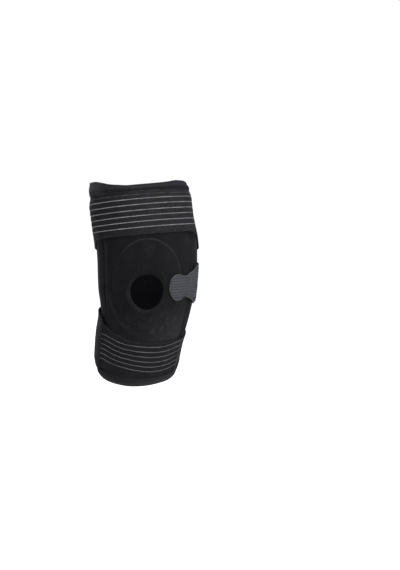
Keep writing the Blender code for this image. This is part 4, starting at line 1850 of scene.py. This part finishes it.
@dataclass(frozen=True)
class StayPocket(Strip):
    """A raised strip down one side, sewn over a stay."""

    side: int = 1
    tape_height: float = 0.0092
    clear: float = 0.001
    seam_shares: tuple[float, float] = (0.09, 0.91)
    dome_shares: tuple[float, float] = (0.22, 0.78)

    def ends(self, angle: Array) -> tuple[Array, Array]:
        """The heights of the pocket's ends, between the two bindings."""
        low = LEG.edge(angle, 1) + self.tape_height + self.clear
        return low, np.full_like(angle, LEG.strap_top - self.clear)

    def lift(self, angle: Array, height: Array) -> Array:
        """How far out the pocket's inside lies."""
        return self.base + LEG.ring_lift(angle, height)

    def relief(self, angle: Array, height: Array) -> Array:
        """The dome over the stay, and the two grooves of its sewn rows.

        Args:
            angle: angles round the leg in degrees.
            height: heights along the leg in metres.

        Returns:
            The distances in metres.
        """
        share = (np.abs(angle) - LEG.pocket_inner_angle) / (LEG.pocket_outer_angle - LEG.pocket_inner_angle)
        first, last = self.dome_shares
        dome = 0.20 + 0.80 * ramp(share, 0.0, first) * (1 - ramp(share, last, 1.0))
        groove = sum(bump(share, seam, 0.06) for seam in self.seam_shares)
        u, v = LEG.cloth(angle, height)
        fade = LEG.pocket_fade(height)
        dome = 1 - (1 - dome) * fade - 0.75 * (1 - fade)
        return self.thickness * (dome - 1) - 0.0003 * groove + 0.00012 * ripple(u, v, 0.02, 23)

    def material(self) -> bpy.types.Material:
        """The pocket's cloth."""
        return self.palette.pocket

    def sew(self, sewing: Seamstress) -> None:
        """Sews the two rows along the pocket.

        Args:
            sewing: who sews the pocket's thread.
        """
        for share in self.seam_shares:
            off = LEG.pocket_inner_angle + share * (LEG.pocket_outer_angle - LEG.pocket_inner_angle)
            low, high = (float(e[0]) for e in self.ends(np.array([self.side * off])))
            height = np.linspace(low + self.clear, high - self.clear, 400)
            sewing.row(np.full_like(height, self.side * off), height, self.face)


@dataclass(frozen=True)
class Straps:
    """Every strip of cloth on the sleeve.

    Each table's rows are an angle in degrees, then the strip's bottom and top edge as shares of the length.
    """

    palette: Palette
    thigh: tuple[Row, ...] = (
        (74.5, 0.2715, 0.498),
        (45.0, 0.2725, 0.499),
        (0.0, 0.2720, 0.499),
        (-46.0, 0.2735, 0.499),
        (-70.0, 0.2680, 0.499),
        (-90.0, 0.2250, 0.499),
        (-100.0, 0.2180, 0.499),
        (-180.0, 0.2020, 0.499),
        (-255.0, 0.1850, 0.498),
        (-270.0, 0.1830, 0.498),
        (-282.0, 0.2450, 0.498),
        (-300.0, 0.2760, 0.498),
    )
    calf: tuple[Row, ...] = (
        (-66.0, -0.408, -0.172),
        (-61.5, -0.408, -0.176),
        (-44.5, -0.408, -0.190),
        (-30.5, -0.408, -0.198),
        (-16.0, -0.408, -0.207),
        (0.0, -0.408, -0.2105),
        (38.0, -0.404, -0.207),
        (60.0, -0.402, -0.209),
        (80.0, -0.400, -0.212),
        (180.0, -0.390, -0.190),
        (254.0, -0.392, -0.160),
        (283.0, -0.396, -0.156),
    )
    calf_end: tuple[Row, ...] = (
        (-61.8, -0.410, -0.168),
        (-66.0, -0.410, -0.152),
        (-78.0, -0.410, -0.140),
        (-90.0, -0.408, -0.136),
        (-110.0, -0.404, -0.142),
        (-125.0, -0.396, -0.156),
    )
    tab: tuple[Row, ...] = (
        (23.4, 0.0180, 0.0400),
        (24.5, 0.0050, 0.0580),
        (26.5, -0.0080, 0.0680),
        (29.5, -0.0200, 0.0760),
        (33.0, -0.0290, 0.0800),
        (37.0, -0.0320, 0.0806),
        (42.0, -0.0290, 0.0765),
        (46.0, -0.0225, 0.0728),
        (49.5, -0.0180, 0.0713),
        (53.0, -0.0205, 0.0740),
        (58.5, -0.0300, 0.0880),
        (63.0, -0.0395, 0.0985),
        (68.0, -0.0475, 0.1098),
        (72.5, -0.0500, 0.1150),
    )
    side: tuple[Row, ...] = (
        (66.0, -0.0480, 0.1080),
        (72.5, -0.0560, 0.1180),
        (90.0, -0.0700, 0.1200),
        (120.0, -0.0740, 0.1200),
        (150.0, -0.0740, 0.1180),
    )

    def build(self) -> None:
        """Makes the pockets, the straps, the patch and the tab."""
        for side, word in ((-1, "Lateral"), (1, "Medial")):
            off = (LEG.pocket_inner_angle, LEG.pocket_outer_angle)
            rows = tuple((side * angle, 0.0, 0.0) for angle in off)
            StayPocket(
                self.palette, word + "StayPocket", word.lower() + "_stay_pocket", rows,
                LEG.pocket_thickness - LEG.gap, Slot.NEOPRENE, 26, 150, base=LEG.gap, side=side,
            ).build()
        LinedStrap(
            self.palette, "ThighStrap", "thigh_strap", self.thigh, 0.0018, Slot.ELASTIC, 480, 90,
            radius=0.0022, rim_highlight=0.65, overlap=(40.0, 58.0), fold=0.0012, corner_highlight=0.9,
        ).build()
        CalfStrap(
            self.palette, "CalfStrap", "calf_strap", self.calf, 0.0018, Slot.ELASTIC, 430, 80,
            radius=0.0030, lines=CALF_LINES, front_highlight=0.10,
        ).build()
        Strip(
            self.palette, "CalfStrapEnd", "calf_strap_end", self.calf_end, 0.0012, Slot.LOOP, 60, 60,
            base=0.0025, radius=0.0050, edge_left=0.1, wear_and_painted_light=0.32,
        ).build()
        Strip(self.palette, "SideStrap", "side_strap", self.side, 0.0018, Slot.LOOP, 70, 40).build()
        HookTab(
            self.palette, "HookTab", "hook_tab", self.tab, 0.0016, Slot.HOOK, 80, 70, base=0.0010,
        ).build()


@dataclass(frozen=True)
class Studio:
    """The camera, the soft lights and the plain floor."""

    distance: float = 2.5
    elevation: float = 8.0
    lens: float = 114.4
    sensor: float = 36.0
    shift: tuple[float, float] = (0.0921, 0.0046)
    floor_drop: float = 0.42
    ambient: float = 0.13
    floor_glow: float = 0.9

    def build(self) -> None:
        """Makes everything that isn't part of the brace."""
        self._floor()
        self._lights()
        self._camera()
        self._world()
        bpy.context.scene.view_settings.view_transform = "Standard"

    def _world(self) -> None:
        """A white backdrop that lights the brace less than it shows."""
        world = bpy.data.worlds.new("Studio")
        world.use_nodes = True
        g = Graph(world.node_tree)
        seen = g.node("ShaderNodeLightPath").outputs["Is Camera Ray"]
        backdrop = world.node_tree.nodes["Background"]
        backdrop.inputs["Color"].default_value = (1.0, 1.0, 1.0, 1.0)
        g.feed(backdrop.inputs["Strength"], g.range(seen, 0.0, 1.0, self.ambient, 1.0))
        bpy.context.scene.world = world

    def _floor(self) -> None:
        """A wide pale floor below the held brace."""
        edit = bmesh.new()
        bmesh.ops.create_grid(edit, x_segments=8, y_segments=8, size=6.0)
        bmesh.ops.translate(edit, verts=edit.verts[:], vec=(0.0, 0.0, -self.floor_drop))
        made = bpy.data.materials.new("Pale floor")
        made.use_nodes = True
        shader = made.node_tree.nodes["Principled BSDF"]
        shader.inputs["Base Color"].default_value = (0.93, 0.93, 0.93, 1.0)
        shader.inputs["Roughness"].default_value = 0.9
        shader.inputs["Emission Color"].default_value = (1.0, 1.0, 1.0, 1.0)
        g = Graph(made.node_tree)
        seen = g.node("ShaderNodeLightPath").outputs["Is Camera Ray"]
        g.feed(shader.inputs["Emission Strength"], g.math("MULTIPLY", seen, self.floor_glow))
        mesh = bpy.data.meshes.new("Floor")
        edit.to_mesh(mesh)
        edit.free()
        mesh.materials.append(made)
        floor = bpy.data.objects.new("Floor", mesh)
        bpy.context.scene.collection.objects.link(floor)

    def _lights(self) -> None:
        """Soft lamps: the main one ahead on the right, a fill on the left, one above and one behind."""
        lamps = (
            ("Main", (1.5, -1.5, 1.3), 0.6, 26.0),
            ("Fill", (-1.3, -1.9, 0.3), 1.0, 6.0),
            ("Above", (0.1, -0.8, 1.8), 0.7, 20.0),
            ("Behind", (-0.6, 1.9, 0.9), 1.2, 16.0),
        )
        for name, place, size, power in lamps:
            data = bpy.data.lights.new(name, "AREA")
            data.size, data.energy = size, power
            lamp = bpy.data.objects.new(name, data)
            lamp.location = place
            lamp.rotation_euler = (-Vector(place)).to_track_quat("-Z", "Y").to_euler()
            bpy.context.scene.collection.objects.link(lamp)

    def _camera(self) -> None:
        """The camera at the photograph's angle."""
        data = bpy.data.cameras.new("Camera")
        data.lens, data.sensor_width, data.sensor_fit = self.lens, self.sensor, "AUTO"
        data.shift_x, data.shift_y = self.shift
        camera = bpy.data.objects.new("Camera", data)
        rise = math.radians(self.elevation)
        camera.location = (0.0, -self.distance * math.cos(rise), self.distance * math.sin(rise))
        camera.rotation_euler = (-camera.location).to_track_quat("-Z", "Y").to_euler()
        bpy.context.scene.collection.objects.link(camera)
        bpy.context.scene.camera = camera


def main() -> None:
    """Builds the brace's pieces and the studio."""
    logging.basicConfig(level=logging.INFO, format="%(message)s")
    Studio().build()
    palette = Palette()
    PatellaPad(palette).build()
    Sleeve(palette).build()
    Binding(palette, "TopBinding", "top_hem_binding", 2, 1).build()
    Binding(palette, "BottomBinding", "bottom_hem_binding", 1, -1).build()
    Straps(palette).build()
    log.info("sizes written")


if __name__ == "__main__":
    main()
